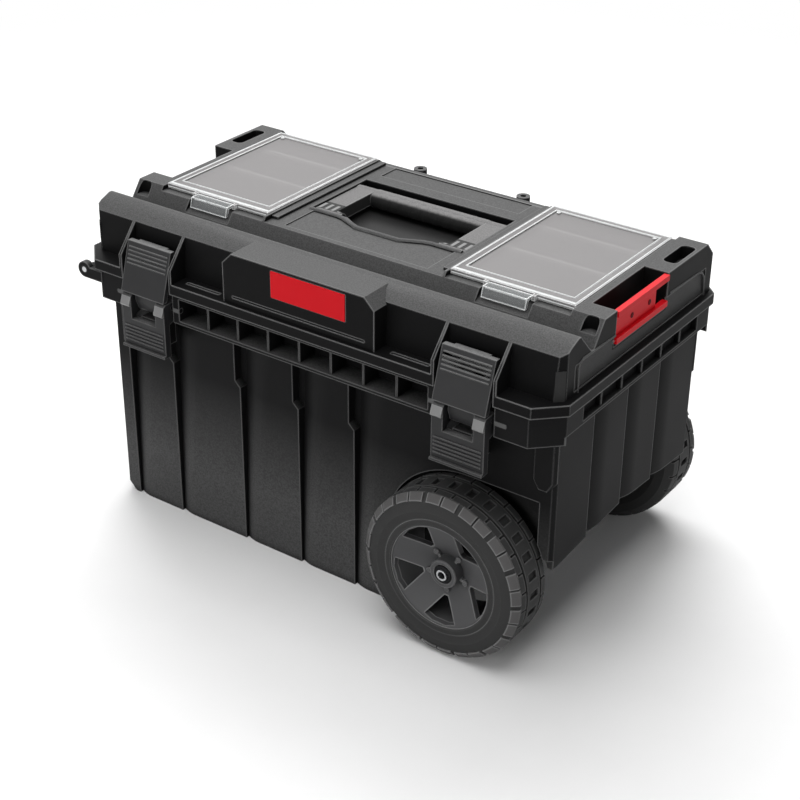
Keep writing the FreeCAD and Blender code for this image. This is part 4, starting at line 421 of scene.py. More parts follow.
# ABS from a plain mould: a clean, even red with faint, soft reflections.
RED_FINISH = MouldedPlastic(
    name="red_moulded_abs", colour="#c00f1a", flow_colour="#c8141f", edge_highlight_colour="#cc1a23", roughness=0.4,
    sheen_spread=0.02, specular=0.06, grain_mm=2.0, grain_depth_mm=0.008, ior=1.53, edge_mm=1.2)
# The same red painted deep and dull in the clip's dimples: painted shade in the hollows.
SHADE_FINISH = MouldedPlastic(
    name="painted_shade_dark_red_abs", colour="#4a070c", flow_colour="#52090f", edge_highlight_colour="#6a0d14", roughness=0.6,
    sheen_spread=0.02, specular=0.05, grain_mm=1.5, grain_depth_mm=0.01, ior=1.53, edge_mm=0.6)
# Glass-filled nylon: dark grey with a satin, slightly streaked face, and a painted sheen on faces that
# look up.
LATCH_FINISH = MouldedPlastic(
    name="dark_grey_filled_nylon", colour="#1d1d1e", flow_colour="#252526", edge_highlight_colour="#555555",
    roughness=0.42, sheen_spread=0.04, ior=1.53, flow_mm=35.0, edge_mm=1.2,
    painted_sheen=PaintedSheen(colour="#6e6e6e", up=0.9, steep=(0.45, 0.9)))
# The same nylon painted pale on the levers' shoulders, with a soft shine: a painted highlight where the
# light falls on their tops.
SHOULDER_HIGHLIGHT_FINISH = MouldedPlastic(
    name="painted_highlight_grey_nylon", colour="#6c6c6c", flow_colour="#787878", edge_highlight_colour="#8c8c8c",
    roughness=0.35, sheen_spread=0.04, specular=0.3, grain_depth_mm=0.01, ior=1.53, flow_mm=20.0,
    edge_mm=0.8)
# Polypropylene with a grey pigment: dark and matt, and painted paler on top, a painted sheen where the
# light falls from above.
HANDLE_FINISH = MouldedPlastic(
    name="mid_grey_polypropylene", colour="#2b2b2b", flow_colour="#323232", edge_highlight_colour="#7c7c7c",
    roughness=0.5, specular=0.1, grain_depth_mm=0.025, flow_mm=60.0,
    painted_sheen=PaintedSheen(colour="#6c6b6b", up=1.0, steep=(0.4, 0.8), nook_mm=4.0))
# Thermoplastic elastomer: soft, with no gloss to speak of, and painted paler on top, a painted sheen
# where the light falls from above.
GRIP_FINISH = MouldedPlastic(
    name="grey_moulded_elastomer", colour="#1e1e1e", flow_colour="#252525", edge_highlight_colour="#5a5a5a",
    roughness=0.6, sheen_spread=0.04, specular=0.1, grain_mm=1.2, grain_depth_mm=0.04, flow_mm=50.0,
    painted_sheen=PaintedSheen(colour="#737272", up=1.0, steep=(0.45, 0.85), nook_mm=4.0))
# Polypropylene wheel from a plain mould: dark grey and satin.
WHEEL_FINISH = MouldedPlastic(
    name="dark_grey_moulded_wheel_plastic", colour="#434344", flow_colour="#4c4c4d", edge_highlight_colour="#757575",
    roughness=0.45, grain_mm=1.5, flow_mm=60.0)
# Moulded tyre rubber: dull charcoal with a dusty bloom.
TYRE_FINISH = MouldedPlastic(
    name="charcoal_moulded_rubber", colour="#2b2b2b", flow_colour="#343434", edge_highlight_colour="#4c4c4c",
    roughness=0.7, sheen_spread=0.05, specular=0.15, grain_mm=1.3, grain_depth_mm=0.05, ior=1.52,
    flow_mm=45.0)
# Tread rubber is painted paler than the sidewall: partly scuffing, and partly a painted highlight where
# the light falls on the lugs.
LUG_FINISH = MouldedPlastic(
    name="scuffed_and_lit_tread_rubber", colour="#484747", flow_colour="#545353", edge_highlight_colour="#707070",
    roughness=0.75, sheen_spread=0.05, grain_mm=1.3, grain_depth_mm=0.06, ior=1.52, flow_mm=20.0)
# Extruded sponge rubber: matt black. The dark layer in the handle's knuckle slots and the lid's corner
# caps have the same dull face, as painted shade.
SEAL_FINISH = MouldedPlastic(
    name="black_extruded_rubber", colour="#101010", flow_colour="#161616", edge_highlight_colour="#202020",
    roughness=0.8, specular=0.3, grain_mm=1.0, grain_depth_mm=0.05, ior=1.52, flow_mm=30.0)
# The covers' panes are hazed grey over the dark wells, their pale veil partly a painted reflection of
# the light above, with bright edges that are a painted highlight.
CLEAR_FINISH = ClearPlastic(
    name="hazed_clear_polycarbonate", colour="#8d8b8b", edge_highlight_colour="#d2d2d2", alpha=0.55, edge_highlight_alpha=0.85,
    roughness=0.4, specular=0.14, haze_mm=40.0)
# The covers' clips are clearer: their faces nearly vanish between bright white edges, a painted highlight.
CLIP_FINISH = ClearPlastic(
    name="clear_polycarbonate_clip", colour="#a9acad", edge_highlight_colour="#f4f6f6", alpha=0.22, edge_highlight_alpha=0.95,
    roughness=0.25, specular=0.3, haze_mm=20.0)
# The raised lines of the frames are painted pale along their whole length: a painted highlight.
FRAME_FINISH = ClearPlastic(
    name="polished_polycarbonate_edge", colour="#a6a8a8", edge_highlight_colour="#c2c4c4", alpha=0.8, edge_highlight_alpha=0.9,
    roughness=0.3, specular=0.25, haze_mm=25.0)
# Smoked polypropylene sheet: dusky on its faces, with a painted highlight along its cut edges.
DIVIDER_FINISH = MouldedPlastic(
    name="smoked_polypropylene_sheet", colour="#3c3c3c", flow_colour="#444444", edge_highlight_colour="#f6f6f4",
    roughness=0.45, specular=0.3, grain_mm=1.5, grain_depth_mm=0.01, flow_mm=40.0, edge_mm=1.4)
# White strips on the dividers' top edges: a painted highlight of those edges, pale enough to show
# through the hazed pane.
DIVIDER_HIGHLIGHT_FINISH = MouldedPlastic(
    name="painted_highlight_divider_strip", colour="#ecebe9", flow_colour="#f2f1ef", edge_highlight_colour="#f6f6f4",
    roughness=0.45, specular=0.3, grain_mm=1.5, grain_depth_mm=0.01, flow_mm=40.0, edge_mm=0.6)
# Spring steel blackened in hot oxide salts: nearly black, with a dull metal gleam.
BLACK_STEEL_FINISH = PlatedSteel(
    name="black_oxide_spring_steel", colour="#262627", dull_colour="#1c1c1d", roughness=0.45, mottle_mm=5.0)
# Drawn steel under bright zinc: silvery, with a faint spangle.
STEEL_FINISH = PlatedSteel(
    name="zinc_plated_drawn_steel", colour="#c6c7c8", dull_colour="#a9abad", roughness=0.3, mottle_mm=6.0)


class Paintbox:
    """Makes each finish once, when a piece first asks for it."""

    def __init__(self) -> None:
        """Start with nothing made."""
        self.made: dict[str, bpy.types.Material] = {}

    def get(self, finish: Finish) -> bpy.types.Material:
        """Return the material of a finish.

        Args:
            finish: The finish that a piece has.

        Returns:
            Its node material.
        """
        if finish.name not in self.made:
            self.made[finish.name] = finish.make()
        return self.made[finish.name]


PAINT = Paintbox()


def soften(item: bpy.types.Object, width_mm: float, flatten: bool = True) -> None:
    """Round the sharp edges of a piece with modifiers.

    Args:
        item: The object whose edges are rounded.
        width_mm: How wide the rounding is.
        flatten: Whether its flat faces are joined first, which fails on faces with many openings.
    """
    weld = item.modifiers.new("weld", "WELD")
    weld.merge_threshold = WELD_MM * MM
    if flatten:
        flat = item.modifiers.new("flat_faces", "DECIMATE")
        flat.decimate_type = "DISSOLVE"
        flat.angle_limit = math.radians(FLAT_DEG)
    bevel = item.modifiers.new("moulded_edges", "BEVEL")
    bevel.width = width_mm * MM
    bevel.segments = BEVEL_STEPS
    bevel.limit_method = "ANGLE"
    bevel.angle_limit = math.radians(BEVEL_DEG)
    bevel.use_clamp_overlap = True
    bevel.miter_outer = "MITER_ARC"
    split = item.modifiers.new("hard_corners", "EDGE_SPLIT")
    split.split_angle = math.radians(SPLIT_DEG)
    split.use_edge_sharp = False
    weighted = item.modifiers.new("face_normals", "WEIGHTED_NORMAL")
    weighted.keep_sharp = False
    weighted.weight = NORMAL_WEIGHT


def dress(name: str, finish: Finish, edge_mm: float, flatten: bool = True) -> None:
    """Give a solid of the frame its finish and its rounded edges.

    Args:
        name: The solid's name.
        finish: What it is made of.
        edge_mm: How wide its edges are rounded, or zero to leave them.
        flatten: Whether its flat faces are joined before the rounding.
    """
    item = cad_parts[name]
    item.data.materials.clear()
    item.data.materials.append(PAINT.get(finish))
    if edge_mm > 0:
        soften(item, edge_mm, flatten)
    LOG.info("dressed %s in %s", name, finish.name)


@dataclass
class Sculpt:
    """Gathers solids, in millimetres, that make up one piece."""

    points: list[Vector] = field(default_factory=list)
    faces: list[tuple[int, ...]] = field(default_factory=list)

    def skin(self, rings: Sequence[Sequence[Point | Vector]], closed: bool = False) -> None:
        """Skin a row of rings that have the same number of points.

        Args:
            rings: The rings, in order.
            closed: Whether the last ring joins the first, or both ends are capped.
        """
        base = len(self.points)
        size = len(rings[0])
        self.points.extend(Vector(point) for ring in rings for point in ring)
        for row in range(len(rings) if closed else len(rings) - 1):
            near = base + row * size
            far = base + (row + 1) % len(rings) * size
            for index in range(size):
                after = (index + 1) % size
                self.faces.append((near + index, near + after, far + after, far + index))
        if not closed:
            last = base + (len(rings) - 1) * size
            self.faces.append(tuple(base + index for index in reversed(range(size))))
            self.faces.append(tuple(last + index for index in range(size)))

    def block(self, low: Point, high: Point) -> None:
        """Add a block between two corners."""
        plan = ((low[0], low[1]), (high[0], low[1]), (high[0], high[1]), (low[0], high[1]))
        self.skin([[(across, along, level) for across, along in plan] for level in (low[2], high[2])])

    def bead(self, path: Sequence[Point], normal: Point, half_width: float, height: float,
             closed: bool = False, sides: int = 10) -> None:
        """Lay a rounded bead along a path on a face.

        Args:
            path: The points that the bead runs through.
            normal: The direction in which it stands proud of the face.
            half_width: Half of its width on the face.
            height: How far it stands out, and how far it reaches in.
            closed: Whether the path ends where it starts.
            sides: How many facets its section has.
        """
        up = Vector(normal)
        spots = [Vector(point) for point in path]
        count = len(spots)
        rings = []
        for index, spot in enumerate(spots):
            before = spots[index - 1] if closed or index else spot
            after = spots[(index + 1) % count] if closed or index < count - 1 else spot
            into = (spot - before).normalized() if spot != before else (after - spot).normalized()
            out = (after - spot).normalized() if spot != after else into
            run = (into + out).normalized()
            stretch = 1 / max(MITRE_LIMIT, run.dot(into))
            side = run.cross(up).normalized() * half_width * stretch
            turns = [math.tau * step / sides for step in range(sides)]
            rings.append([spot + side * math.cos(turn) + up * height * math.sin(turn) for turn in turns])
        self.skin(rings, closed)

    def turned(self, section: Sequence[Flat], centre: Point, axis: Point, steps: int = 96) -> None:
        """Turn a closed section of radius and distance along an axis into a ring.

        Args:
            section: The section's corners.
            centre: Where the distance along the axis is zero.
            axis: The direction of the axis.
            steps: How many facets go round.
        """
        self.swept(section, centre, axis, [math.tau * step / steps for step in range(steps)], True)

    def swept(self, section: Sequence[Flat], centre: Point, axis: Point, turns: Sequence[float],
              closed: bool = False) -> None:
        """Sweep a section of radius and distance along an axis through some of a turn.

        Args:
            section: The section's corners.
            centre: Where the distance along the axis is zero.
            axis: The direction of the axis.
            turns: The angles that the section passes, in radians.
            closed: Whether the sweep goes all the way round.
        """
        along = Vector(axis).normalized()
        first = Vector((0, 0, 1)) if abs(along.z) < STEEP_AXIS else Vector((1, 0, 0))
        second = along.cross(first)
        middle = Vector(centre)
        rings = []
        for turn in turns:
            arm = first * math.cos(turn) + second * math.sin(turn)
            rings.append([middle + arm * radius + along * depth for radius, depth in section])
        self.skin(rings, closed)

    def build(self, name: str, finish: Finish, body: str, slot: Slot, edge_mm: float = 0.0,
              sharp_deg: float = 40.0) -> bpy.types.Object:
        """Turn what was gathered into a piece that moves with a body.

        Args:
            name: The piece's name.
            finish: What it is made of.
            body: The body that carries it.
            slot: The material slot of the record that it belongs to. It is not used.
            edge_mm: How wide its edges are rounded, or zero to leave them.
            sharp_deg: The angle between faces above which an edge stays sharp.

        Returns:
            The new object.
        """
        mesh = bpy.data.meshes.new(name)
        mesh.from_pydata([point * MM for point in self.points], [], self.faces)
        shape = bmesh.new()
        shape.from_mesh(mesh)
        bmesh.ops.recalc_face_normals(shape, faces=shape.faces)
        shape.to_mesh(mesh)
        shape.free()
        mesh.shade_smooth()
        mesh.set_sharp_from_angle(angle=math.radians(sharp_deg))
        mesh.materials.append(PAINT.get(finish))
        item = bpy.data.objects.new(name, mesh)
        bpy.context.scene.collection.objects.link(item)
        if edge_mm > 0:
            soften(item, edge_mm)
        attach(item, body)
        LOG.info("built %s on %s", name, body)
        return item


@dataclass
class Shell:
    """The tub, the lid and what is fixed to them."""

    edge_mm: float = 1.0
    badge_edge_mm: float = 0.6
    seal_edge_mm: float = 0.3
    lid_end: float = 292.5
    deck: float = 362.0
    lip_path: Sequence[Flat] = ((-97, -25), (-60, -25), (-51, -27), (-27, -37.5), (27, -37.5), (51, -27),
                                (60, -25), (97, -25))
    lip_size: Flat = (2.9, 2.0)
    strip_edges: Flat = (104.5, 115.1)
    strip_ends: Flat = (-70.0, 124.0)
    strip_rise: float = 3.2
    strip_root: float = 1.0
    strip_edge_mm: float = 1.0
    rib_size: Flat = (1.1, 1.1)
    front_rib: Sequence[Flat] = ((-124, 305), (-125, 335), (-123, 340), (-118, 343), (-58, 341))
    rear_rib: Sequence[Flat] = ((52, 343), (115, 341), (123, 338), (128, 332), (132, 305))
    post_plan: Sequence[Flat] = ((261, -140), (263, -146), (284, -146), (287, -140))
    post_low: float = 206.0
    post_high: float = 264.0
    post_foot: float = 10.0
    post_taper: float = 0.45
    post_edge_mm: float = 0.8
    cap_plan: Sequence[Flat] = ((284.4, -153.1), (285.0, -153.5), (292.0, -146.5), (291.6, -145.9))
    cap_levels: Flat = (305.5, 341.0)

    def build(self) -> None:
        """Dress the mouldings and add their beads, ribs, posts and caps."""
        dress("tub", TUB_FINISH, self.edge_mm)
        dress("lid_shell", LID_FINISH, self.edge_mm, flatten=False)
        dress("badge_plate", RED_FINISH, self.badge_edge_mm)
        dress("lid_seal", SEAL_FINISH, self.seal_edge_mm)
        self.add_lid_beads()
        self.add_end_ribs()
        self.add_corner_posts()
        self.add_corner_caps()

    def add_corner_caps(self) -> None:
        """Close off the thin cropped corners at the front of the lid with dark matt sheets, as painted shade.
        """
        caps = Sculpt()
        for sign in SIDES.values():
            caps.skin([[(sign * across, along, level) for across, along in self.cap_plan]
                       for level in self.cap_levels])
        caps.build("lid_corner_caps", SEAL_FINISH, "lid", Slot.SHELL)

    def add_lid_beads(self) -> None:
        """Add the raised lip in front of the handle recess and the strips beside the covers."""
        lip = Sculpt()
        lip.bead([(*spot, self.deck) for spot in self.lip_path], (0, 0, 1), *self.lip_size)
        lip.build("recess_lip", LID_FINISH, "lid", Slot.SHELL)
        strips = Sculpt()
        for sign in SIDES.values():
            near, far = sorted(sign * edge for edge in self.strip_edges)
            strips.block((near, self.strip_ends[0], self.deck - self.strip_root),
                         (far, self.strip_ends[1], self.deck + self.strip_rise))
        strips.build("cover_side_strips", LID_FINISH, "lid", Slot.SHELL, self.strip_edge_mm)

    def add_end_ribs(self) -> None:
        """Add the bent ribs on the end faces of the lid."""
        ribs = Sculpt()
        for sign in SIDES.values():
            for path in (self.front_rib, self.rear_rib):
                ribs.bead([(sign * self.lid_end, along, up) for along, up in path], (sign, 0, 0),
                          *self.rib_size)
        ribs.build("lid_end_ribs", LID_FINISH, "lid", Slot.SHELL)

    def add_corner_posts(self) -> None:
        """Add the posts under the rim at the tub's corners by the wheels."""
        posts = Sculpt()
        middle = sum(across for across, _ in self.post_plan) / len(self.post_plan)
        for sign in ENDS.values():
            rings = []
            for level, share in ((self.post_low, self.post_taper), (self.post_low + self.post_foot, 1.0),
                                 (self.post_high, 1.0)):
                rings.append([(middle + (across - middle) * share, -sign * along, level)
                              for across, along in self.post_plan])
            posts.skin(rings)
        posts.build("corner_posts", TUB_FINISH, "base", Slot.SHELL, self.post_edge_mm)


@dataclass
class Organisers:
    """The clear covers, their clips, pins and dividers."""

    cover_edge_mm: float = 0.7
    clip_edge_mm: float = 0.5
    divider_edge_mm: float = 0.3
    line_half: float = 1.6
    line_rise: float = 3.4
    line_root: float = 1.0
    line_inset: float = 0.5
    line_edge_mm: float = 0.3
    outer: tuple[Flat, Flat] = ((117.0, 255.6), (-72.2, 121.5))
    rim_inset: Flat = (0.6, 1.2)
    border: Flat = (8.0, 13.0)
    top: float = 368.0
    bead: Flat = (0.9, 0.7)
    outer_bead: Flat = (1.0, 0.7)
    front_bead: Flat = (2.0, 0.8)
    front_bead_inset: Flat = (1.0, 2.4)
    lip_y: float = -73.4
    lip_z: float = 364.6
    rivet: Sequence[Flat] = ((2.2, -0.4), (2.2, 0.5), (1.6, 0.8), (0.5, 0.8), (0.5, -0.4))
    rivet_places: Sequence[Flat] = ((130, 109), (243, 109))
    rivet_steps: int = 24

    def build(self) -> None:
        """Dress the organisers and add the frames of their covers."""
        for side, sign in SIDES.items():
            dress(f"clear_cover_{side}", CLEAR_FINISH, self.cover_edge_mm)
            dress(f"cover_clip_{side}", CLIP_FINISH, self.clip_edge_mm)
            dress(f"cover_pin_{side}", STEEL_FINISH, 0)
            for row in ENDS:
                dress(f"{row}_divider_{side}", DIVIDER_FINISH, self.divider_edge_mm)
            self.add_frame(side, sign)
            self.add_divider_lines(side)

    def add_divider_lines(self, side: str) -> None:
        """Add white strips along the top edges of a well's dividers, as a painted highlight of those edges.

        Args:
            side: Which well.
        """
        lines = Sculpt()
        for row in ENDS:
            low, high = ([value / MM for value in corner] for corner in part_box(f"{row}_divider_{side}"))
            middle = (low[1] + high[1]) / 2
            lines.block((low[0] + self.line_inset, middle - self.line_half, high[2] - self.line_root),
                        (high[0] - self.line_inset, middle + self.line_half, high[2] + self.line_rise))
        lines.build(f"divider_lines_{side}", DIVIDER_HIGHLIGHT_FINISH, "lid", Slot.CLEAR, self.line_edge_mm)

    def add_frame(self, side: str, sign: int) -> None:
        """Add the raised lines round a cover's frame and its rivets.

        Args:
            side: Which cover.
            sign: The sign of x on that side.
        """
        (inner, outer), (front, rear) = self.outer
        frame_lines = Sculpt()
        for (inset, front_inset), size in ((self.rim_inset, self.outer_bead), (self.border, self.bead)):
            corners = ((inner + inset, front + front_inset), (outer - inset, front + front_inset),
                       (outer - inset, rear - inset), (inner + inset, rear - inset))
            frame_lines.bead([(sign * across, along, self.top) for across, along in corners], (0, 0, 1),
                             *size, closed=True)
        inset, front_inset = self.front_bead_inset
        frame_lines.bead([(sign * across, front + front_inset, self.top)
                          for across in (inner + inset, outer - inset)], (0, 0, 1), *self.front_bead)
        frame_lines.bead([(sign * across, self.lip_y, self.lip_z) for across in (inner, outer)],
                         (0, -1, 0), *self.bead)
        for across, along in self.rivet_places:
            frame_lines.turned(self.rivet, (sign * across, along, self.top), (0, 0, 1),
                               self.rivet_steps)
        frame_lines.build(f"cover_frame_{side}", FRAME_FINISH, f"cover_{side}", Slot.CLEAR)


@dataclass
class CarryHandle:
    """The folding handle with its grip and pins."""

    edge_mm: float = 1.2
    half_length: float = 72.3
    step: float = 2.5
    section: Sequence[Flat] = ((49.6, 357.4), (52.0, 359.2), (66.6, 359.2), (69.2, 357.6), (69.8, 347.0),
                               (67.8, 342.8), (61.0, 341.2), (53.5, 342.0), (49.4, 346.0), (48.4, 352.0))
    front_limit: float = 52.5
    bump: float = 1.6
    bump_pitch: float = 14.0
    bump_half: float = 63.0
    bump_above: float = 350.0
    bump_lift: float = 0.6
    grip_sharp_deg: float = 60.0
    pivot: Flat = (-14.0, 352.5)
    arm_edges: Flat = (72.7, 96.3)
    arm_top: float = 359.5
    knuckle_edges: Flat = (62.8, 96.3)
    knuckle_radius: float = 7.5
    root: float = 0.6
    inlay_rear: float = 5.0
    inlay_rise: float = 0.25
    inlay_top: float = 0.3
    rib_rise: float = 0.45
    rib_top: float = 0.75
    rib_width: float = 3.8
    rib_pitch: float = 8.4
    rib_start: float = 0.8
    rib_short: float = 5.0
    rib_edge_mm: float = 0.25
    turns_deg: Sequence[float] = (0.0, 12.0, 24.0, 36.0, 48.0, 60.0, 72.0)

    def build(self) -> None:
        """Dress the handle, replace its grip with a softly bumped bar and add the knuckles."""
        dress("carry_handle", HANDLE_FINISH, self.edge_mm)
        for side in SIDES:
            dress(f"handle_pin_{side}", STEEL_FINISH, 0)
        dress("handle_grip", GRIP_FINISH, 0)
        count = round(2 * self.half_length / self.step)
        rings = []
        for index in range(count + 1):
            across = -self.half_length + 2 * self.half_length * index / count
            rings.append([self.bumped(across, along, up) for along, up in self.section])
        bar = Sculpt()
        bar.skin(rings)
        grip = bar.build("bumped_grip", GRIP_FINISH, "handle", Slot.GRIP, sharp_deg=self.grip_sharp_deg)
        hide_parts("handle_grip")
        self.add_knuckles()

    def add_knuckles(self) -> None:
        """Add the dark slots and pale ribs over the pivots at the front of the arms.

        The slots' dark layer is painted shade between the ribs.
        """
        slots = Sculpt()
        ribs = Sculpt()
        front, level = self.pivot
        core = self.knuckle_radius - self.root
        skin = self.knuckle_radius + self.inlay_rise
        rib_skin = self.knuckle_radius + self.rib_rise
        low = self.arm_top - self.root
        rear = self.inlay_rear - self.rib_short
        turns = [math.radians(-turn) for turn in self.turns_deg]
        inner, outer = self.knuckle_edges
        for sign in SIDES.values():
            sleeve = [(core, inner), (skin, inner), (skin, outer), (core, outer)]
            slots.swept(sleeve, (0, front, level), (sign, 0, 0), [sign * turn for turn in turns])
            near, far = sorted(sign * edge for edge in self.arm_edges)
            slots.block((near, front, low), (far, self.inlay_rear, self.arm_top + self.inlay_top))
            place = outer - self.rib_start
            while place - self.rib_width > inner:
                left, right = sorted((sign * place, sign * (place - self.rib_width)))
                ribs.swept([(core, left), (rib_skin, left), (rib_skin, right), (core, right)],
                           (0, front, level), (1, 0, 0), turns)
                if place - self.rib_width > self.arm_edges[0]:
                    ribs.block((left, front, low), (right, rear, self.arm_top + self.rib_top))
                place -= self.rib_pitch
        slots.build("knuckle_slots", SEAL_FINISH, "handle", Slot.HANDLE)
        ribs.build("knuckle_ribs", HANDLE_FINISH, "handle", Slot.HANDLE, self.rib_edge_mm)

    def bumped(self, across: float, along: float, up: float) -> Point:
        """Push a point of the bar's front out and up where a finger bump is.

        Args:
            across: Place along the bar.
            along: Place from front to rear.
            up: Height.

        Returns:
            The moved point.
        """
        if along > self.front_limit or abs(across) > self.bump_half:
            return across, along, up
        wave = 0.5 + 0.5 * math.cos(math.tau * across / self.bump_pitch)
        lift = self.bump_lift * self.bump * wave * (up > self.bump_above)
        return across, along - self.bump * wave, up + lift


@dataclass
class Latches:
    """The draw latches, the side clip, the hinge and their pins."""

    edge_mm: float = 0.7
    clip_edge_mm: float = 0.8
    clip_face: float = 290.5
    dimple: Sequence[Flat] = ((0.2, -0.3), (3.0, -0.3), (3.0, 0.25), (2.4, 0.45), (0.2, 0.2))
    dimple_places: Sequence[Flat] = ((-22.5, 348), (12.5, 348))
    dimple_steps: int = 24
    latch_x: float = 200.0
    arm_reach: Flat = (17.4, 29.8)
    shoulder_edge_mm: float = 0.4
    shoulder: Sequence[Flat] = ((-182.0, 272.0), (-185.4, 272.8), (-186.2, 274.4), (-182.9, 283.4),
                                (-182.0, 283.4))

    def build(self) -> None:
        """Dress the latches, the hinge pins and the side clip, and add the levers' shoulders."""
        for side in SIDES:
            dress(f"latch_lever_{side}", LATCH_FINISH, self.edge_mm)
            dress(f"latch_plate_{side}", LATCH_FINISH, self.edge_mm)
            for pin in ("latch_pin", "draw_pin"):
                dress(f"{pin}_{side}", BLACK_STEEL_FINISH, 0)
            dress(f"hinge_pin_{side}", STEEL_FINISH, 0)
            self.add_shoulders(side)
        self.dress_side_clip()

    def add_shoulders(self, side: str) -> None:
        """Add the sloped shoulders at the top of a lever's two arms.

        Args:
            side: Which latch.
        """
        shoulders = Sculpt()
        for arm in (-1, 1):
            edges = [SIDES[side] * self.latch_x + arm * reach for reach in self.arm_reach]
            shoulders.skin([[(across, *spot) for spot in self.shoulder] for across in edges])
        # Their pale tops are a painted highlight.
        shoulders.build(f"lever_shoulders_{side}", SHOULDER_HIGHLIGHT_FINISH, f"lever_{side}", Slot.LATCH,
                        self.shoulder_edge_mm)

    def dress_side_clip(self) -> None:
        """Dress the side clip and plug its two dimples with dark red discs of painted shade."""
        dress("side_clip", RED_FINISH, self.clip_edge_mm)
        dress("side_clip_pin", STEEL_FINISH, 0)
        dimples = Sculpt()
        for along, up in self.dimple_places:
            dimples.turned(self.dimple, (self.clip_face, along, up), (1, 0, 0), self.dimple_steps)
        dimples.build("side_clip_dimples", SHADE_FINISH, "end_clip", Slot.RED)


@dataclass
class RunningGear:
    """The wheels on their axle."""

    wheel_edge_mm: float = 0.9
    tyre_edge_mm: float = 0.8
    steel_edge_mm: float = 0.3
    axle: Flat = (186.0, 93.0)
    face: float = 190.0
    lug_count: int = 28
    lug_gap_deg: float = 1.3
    wide_gap_deg: float = 3.4
    lug_steps: int = 4
    lug: Sequence[Flat] = ((84.0, 4.5), (84.6, 1.2), (85.4, 0.9), (92.0, 6.2), (92.5, 7.4), (91.4, 11.0))
    rim: Sequence[Flat] = ((57.6, 4.0), (57.6, 2.0), (58.6, 0.9), (62.6, 0.6), (64.6, 1.6), (64.6, 4.0))
    collar: Sequence[Flat] = ((10.6, 12.0), (10.6, 9.6), (11.4, 9.0), (14.6, 9.0), (15.6, 10.0), (15.6, 26.0),
                              (14.0, 26.0), (14.0, 12.0))
    post: Sequence[Flat] = ((0.2, 26.0), (3.2, 26.0), (3.2, 16.8), (2.4, 16.0), (0.2, 16.0))
    post_radius: float = 22.5
    post_count: int = 5
    post_start_deg: float = 107.5
    collar_steps: int = 48
    post_steps: int = 20
    rib_root: float = 15.0
    rib_half: float = 1.3
    rib_front: float = 18.0
    rib_back: float = 26.0

    def build(self) -> None:
        """Dress the wheels and add their treads, rims and hubs."""
        for end, sign in ENDS.items():
            dress(f"{end}_wheel", WHEEL_FINISH, self.wheel_edge_mm)
            dress(f"{end}_tyre", TYRE_FINISH, self.tyre_edge_mm)
            dress(f"{end}_washer", STEEL_FINISH, self.steel_edge_mm)
            dress(f"{end}_retainer", BLACK_STEEL_FINISH, self.steel_edge_mm)
            self.add_lugs(end, sign)
            self.add_hub(end, sign)
        dress("axle_tube", STEEL_FINISH, self.steel_edge_mm)

    def middle(self, sign: int) -> Point:
        """Return the middle of a wheel's outer face."""
        return self.axle[0], sign * self.face, self.axle[1]

    def add_lugs(self, end: str, sign: int) -> None:
        """Add the raised blocks round a tyre's outer shoulder.

        Args:
            end: Which wheel.
            sign: The sign of y on that side.
        """
        lugs = Sculpt()
        pitch = 360 / self.lug_count
        for index in range(self.lug_count):
            gap = self.wide_gap_deg if index % 2 else self.lug_gap_deg
            first = index * pitch + gap / 2
            span = pitch - (self.wide_gap_deg + self.lug_gap_deg) / 2
            turns = [math.radians(first + span * step / self.lug_steps) for step in range(self.lug_steps + 1)]
            lugs.swept(self.lug, self.middle(sign), (0, -sign, 0), turns)
        lugs.build(f"{end}_tyre_lugs", LUG_FINISH, f"wheel_{end}", Slot.TYRE)

    def add_hub(self, end: str, sign: int) -> None:
        """Add a wheel's rim ring, hub collar, posts and ribs.

        Args:
            end: Which wheel.
            sign: The sign of y on that side.
        """
        inward = (0, -sign, 0)
        ring = Sculpt()
        ring.turned(self.rim, self.middle(sign), inward)
        ring.build(f"{end}_wheel_rim", TYRE_FINISH, f"wheel_{end}", Slot.WHEEL)
        hub = Sculpt()
        hub.turned(self.collar, self.middle(sign), inward, self.collar_steps)
        for index in range(self.post_count):
            turn = math.radians(self.post_start_deg + 360 * index / self.post_count)
            arm = Vector((math.sin(turn), 0, math.cos(turn)))
            side = Vector((math.cos(turn), 0, -math.sin(turn)))
            centre = Vector(self.middle(sign)) + arm * self.post_radius
            hub.turned(self.post, tuple(centre), inward, self.post_steps)
            rings = []
            for radius in (self.rib_root, self.post_radius):
                root = Vector(self.middle(sign)) + arm * radius
                rings.append([root + side * across + Vector(inward) * depth for across, depth in (
                    (-self.rib_half, self.rib_front), (self.rib_half, self.rib_front),
                    (self.rib_half, self.rib_back), (-self.rib_half, self.rib_back))])
            hub.skin(rings)
        hub.build(f"{end}_wheel_hub", WHEEL_FINISH, f"wheel_{end}", Slot.WHEEL)


@dataclass
class TowBail:
    """The bail that swings at the end away from the wheels."""

    edge_mm: float = 0.8

    def build(self) -> None:
        """Dress the bail."""
        dress("tow_bail", LATCH_FINISH, self.edge_mm)
        dress("tow_grip", GRIP_FINISH, self.edge_mm)
        dress("tow_rod", STEEL_FINISH, 0)


@dataclass(frozen=True)
class SoftBox:
    """A large even lamp, aimed at a point."""

    name: str
    place: Point
    target: Point
    width: float
    height: float
    watts: float

    def hang(self) -> None:
        """Add the lamp to the scene."""
        lamp = bpy.data.lights.new(self.name, "AREA")
        lamp.shape = "RECTANGLE"
        lamp.size = self.width
        lamp.size_y = self.height
        lamp.energy = self.watts
        item = bpy.data.objects.new(self.name, lamp)
        item.location = self.place
        aim = Vector(self.target) - Vector(self.place)
        item.rotation_euler = aim.to_track_quat("-Z", "Y").to_euler()
        bpy.context.scene.collection.objects.link(item)
        LOG.info("hung %s", self.name)


